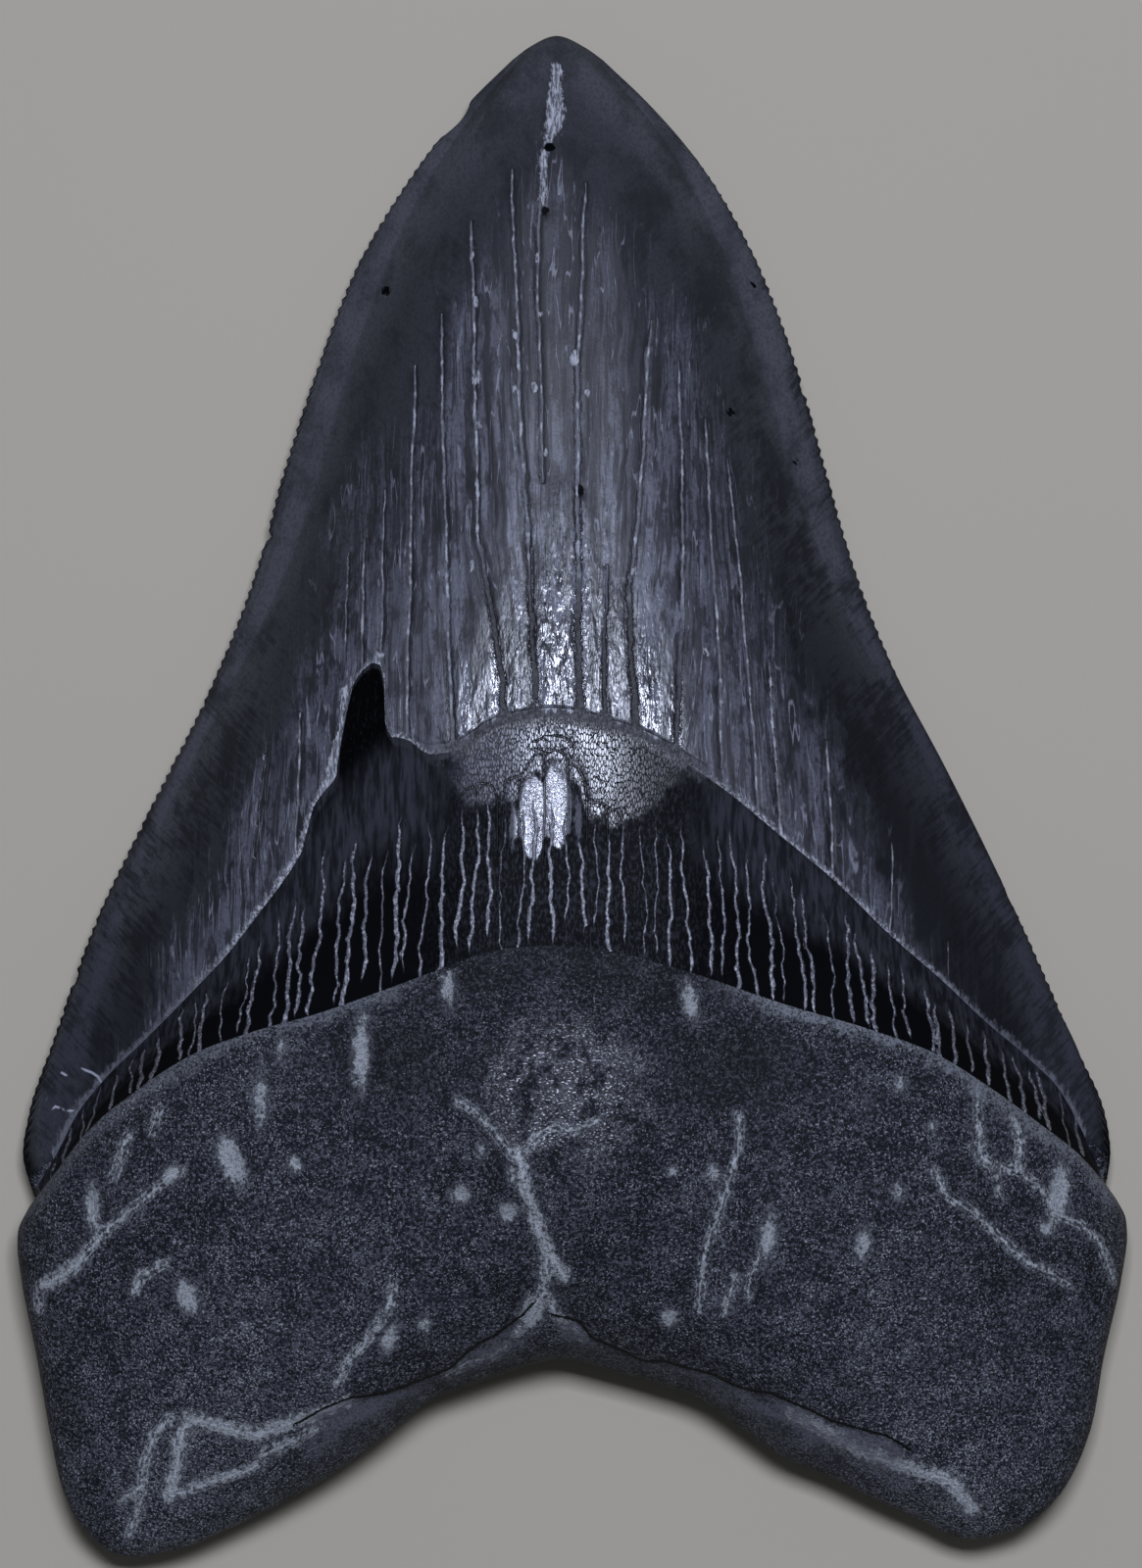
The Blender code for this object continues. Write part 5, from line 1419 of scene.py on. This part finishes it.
def with_veins(f, s, colour):
    """Pale mineral along the veins and in patches: a grainy halo, a ragged body, and bright
    fibres along each vein's core."""
    vein = f.most(f.add(f.mark("vein"), f.rise(s.ragged, 0.3, 0.7, -0.6, 0.45)),
                  f.add(f.mark("patch"), f.rise(s.ragged, 0.3, 0.7, -0.35, 0.3)))
    halo = f.times(f.rise(vein, -0.6, 0.0), s.grains)
    s.pale = f.times(f.rise(vein, -0.12, 0.12), f.rise(s.grains, 0.15, 1.0, 0.5, 1.0))
    colour = f.blend(f.times(halo, 0.6), colour, stone(0.1, 1.2, 1.05))
    colour = f.blend(s.pale, colour, stone(0.3, 1.08, 1.05))
    wobble = f.swing(f.noise(f.stretched(0.8, 0.8, 0.8), 1.0, 3.0, 0.6), 0.9)
    from_fibre = f.math("PINGPONG", f.size(f.add(f.mark("core"), wobble)), 0.22)
    fibre = f.times(f.rise(from_fibre, 0.1, 0.02), f.rise(f.mark("core near"), 0.5, 0.35),
                    f.rise(f.mark("vein"), -0.35, -0.05), f.rise(s.ragged, 0.4, 0.52))
    return f.blend(fibre, colour, stone(0.42, 1.08, 1.05))


def with_rims(f, s, colour):
    """The pale rim under the root line, the grey stone below the lower rim's crack, and that
    crack itself, in black."""
    reach = f.rise(s.aside, 26.0, 34.0, 1.3, 2.2)
    rim = f.times(f.rise(f.add(s.below, f.swing(s.density, 7.0)), reach, 0.2),
                  f.rise(s.aside, 9.0, 17.0), s.grains)
    rim_share = f.times(rim, f.rise(f.coordinate("X"), -20.0 * MM, 10.0 * MM, 0.5, 0.85))
    colour = f.blend(rim_share, colour, stone(0.18, 1.15, 1.05))
    lower = f.times(f.mark("below rim"), f.rise(s.density, 0.4, 0.58, 0.3, 0.95),
                    f.rise(s.grains, 0.15, 1.0, 0.5, 1.0))
    colour = f.blend(lower, colour, stone(0.1, 1.2))
    line = f.add(f.size(f.mark("hairline")), f.frayed(s.ragged, -0.05, 0.07))
    s.crack = f.times(f.rise(line, 0.15, 0.06), f.rise(f.mark("hair near"), 0.5, 0.3))
    return f.blend(s.crack, colour, stone(0.001))


def root_finish():
    """Root: dark stone with a dense pale speckle, mineral veins and patches, a boss that is worn
    shiny with painted glints on it, and fine grit."""
    f = Finish("fossil root")
    s = root_patterns(f)
    colour = with_rims(f, s, with_veins(f, s, speckled_stone(f, s)))
    # Painted glints: tiny near-white dots on the boss, standing in for the sparkle of the light on its
    # grains.
    glints = f.noise(f.stretched(0.26, 0.12, 0.14), 1.0, 0.0)
    painted_sparkle = f.times(f.rise(glints, 0.68, 0.76), f.rise(s.boss, 0.6, 0.95), f.rise(s.density, 0.42, 0.54))
    colour = f.blend(painted_sparkle, colour, stone(0.8, 1.05, 1.0))
    shiny = f.times(f.rise(s.boss, 0.4, 0.9), f.rise(s.density, 0.4, 0.52), 0.6)
    roughness = f.add(f.graded(shiny, 0.75, 0.16), f.times(s.pale, 0.2))
    grit = f.noise(f.stretched(0.24, 0.24, 0.24), 1.0, 3.0, 0.7)
    lumps = f.noise(f.stretched(1.0, 1.0, 1.0), 1.0, 3.0, 0.6)
    height = f.add(f.times(grit, 0.15), f.times(lumps, 0.1), f.times(s.crack, -0.3), f.times(s.pale, 0.05))
    return f.done(colour, roughness, height, f.graded(shiny, 0.2, 0.7))


def mark_points(mesh, surface):
    """Keeps each mark as a point attribute of the mesh."""
    points = np.concatenate(surface.points)
    marks = {name: surface.values(name, elsewhere) for name, elsewhere in UNMARKED.items()}
    marks["edge distance"] = edge_distance(points[:, 0], points[:, 1])
    marks["centre distance"] = np.abs(points[:, 0])
    marks["serration"] = surface.values("row", 0.0) * SERRATIONS
    for name, values in marks.items():
        attribute = mesh.attributes.new(name, "FLOAT", "POINT")
        attribute.data.foreach_set("value", values.astype(np.float32))


def add_tooth():
    """The dressed tooth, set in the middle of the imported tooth's box and on its resting plane."""
    surface = tooth_surface()
    points = np.concatenate(surface.points)
    low, high = (np.array(corner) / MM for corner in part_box("tooth"))
    middle = (points.min(axis=0) + points.max(axis=0)) / 2
    shift = (low + high) / 2 - middle
    shift[2] = low[2] - points[:, 2].min()
    mesh = bpy.data.meshes.new("tooth_surface")
    mesh.from_pydata(((points + shift) * MM).tolist(), [], np.concatenate(surface.faces).tolist())
    mark_points(mesh, surface)
    for finish in (crown_finish(), band_finish(), root_finish()):
        mesh.materials.append(finish)
    mesh.polygons.foreach_set("material_index", np.concatenate(surface.finishes).astype(np.int32))
    mesh.polygons.foreach_set("use_smooth", np.ones(len(mesh.polygons), bool))
    mesh.update()
    tooth = bpy.data.objects.new("tooth_surface", mesh)
    bpy.context.scene.collection.objects.link(tooth)
    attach(tooth, "root")
    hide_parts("tooth")


# Floor, lights and camera, in metres.
FLOOR_SIZE = 3.0
FLOOR_COLOUR = (0.42, 0.38, 0.30, 1.0)
FLOOR_ROUGHNESS = 0.9
FLOOR_SHINE = 0.1
LIGHTS = (                  # name, place, width, length, power
    ("flash", (0.02, 0.105, 0.55), 0.13, 0.085, 2.5),
    ("overhead panel", (0.0, 0.1, 1.0), 0.7, 0.7, 0.25))
LIGHT_COLOUR = (0.92, 1.0, 1.25)
CLIP_START = 0.01           # nearest that the camera sees
AMBIENT = (0.055, 0.06, 0.07, 1.0)


def add_floor():
    """A plain pale floor that the tooth lies on."""
    half = FLOOR_SIZE / 2
    corners = [(-half, -half, 0), (half, -half, 0), (half, half, 0), (-half, half, 0)]
    mesh = bpy.data.meshes.new("floor")
    mesh.from_pydata(corners, [], [(0, 1, 2, 3)])
    f = Finish("plain floor")
    f.shader.inputs["Base Color"].default_value = FLOOR_COLOUR
    f.shader.inputs["Roughness"].default_value = FLOOR_ROUGHNESS
    f.shader.inputs["Specular IOR Level"].default_value = FLOOR_SHINE
    mesh.materials.append(f.material)
    floor = bpy.data.objects.new("floor", mesh)
    bpy.context.scene.collection.objects.link(floor)


def add_lights():
    """Soft lights above the tooth, facing it, and a faint even surround."""
    for name, place, width, length, power in LIGHTS:
        light = bpy.data.lights.new(name, "AREA")
        light.shape = "RECTANGLE"
        light.size = width
        light.size_y = length
        light.energy = power
        light.color = LIGHT_COLOUR
        holder = bpy.data.objects.new(name, light)
        holder.location = place
        holder.rotation_euler = Vector(place).to_track_quat("Z", "Y").to_euler()
        bpy.context.scene.collection.objects.link(holder)
    world = bpy.data.worlds.new("studio")
    world.use_nodes = True
    world.node_tree.nodes["Background"].inputs["Color"].default_value = AMBIENT
    bpy.context.scene.world = world


def add_camera():
    """Straight above the tooth, looking down, with the tip at the top of the frame."""
    camera = bpy.data.cameras.new("camera")
    camera.lens = LENS
    camera.sensor_width = SENSOR
    camera.clip_start = CLIP_START
    holder = bpy.data.objects.new("camera", camera)
    holder.location = (*VIEW_CENTRE, OUTLINE_PLANE + VIEW_HEIGHT * LENS / SENSOR)
    bpy.context.scene.collection.objects.link(holder)
    bpy.context.scene.camera = holder


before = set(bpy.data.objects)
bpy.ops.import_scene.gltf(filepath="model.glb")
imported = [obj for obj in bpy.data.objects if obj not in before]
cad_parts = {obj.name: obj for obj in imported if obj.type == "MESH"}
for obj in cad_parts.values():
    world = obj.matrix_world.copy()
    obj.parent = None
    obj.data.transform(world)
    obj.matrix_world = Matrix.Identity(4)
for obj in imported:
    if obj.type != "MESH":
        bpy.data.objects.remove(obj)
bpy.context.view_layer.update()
add_tooth()
add_floor()
add_lights()
add_camera()
bpy.context.scene.view_settings.view_transform = "Standard"
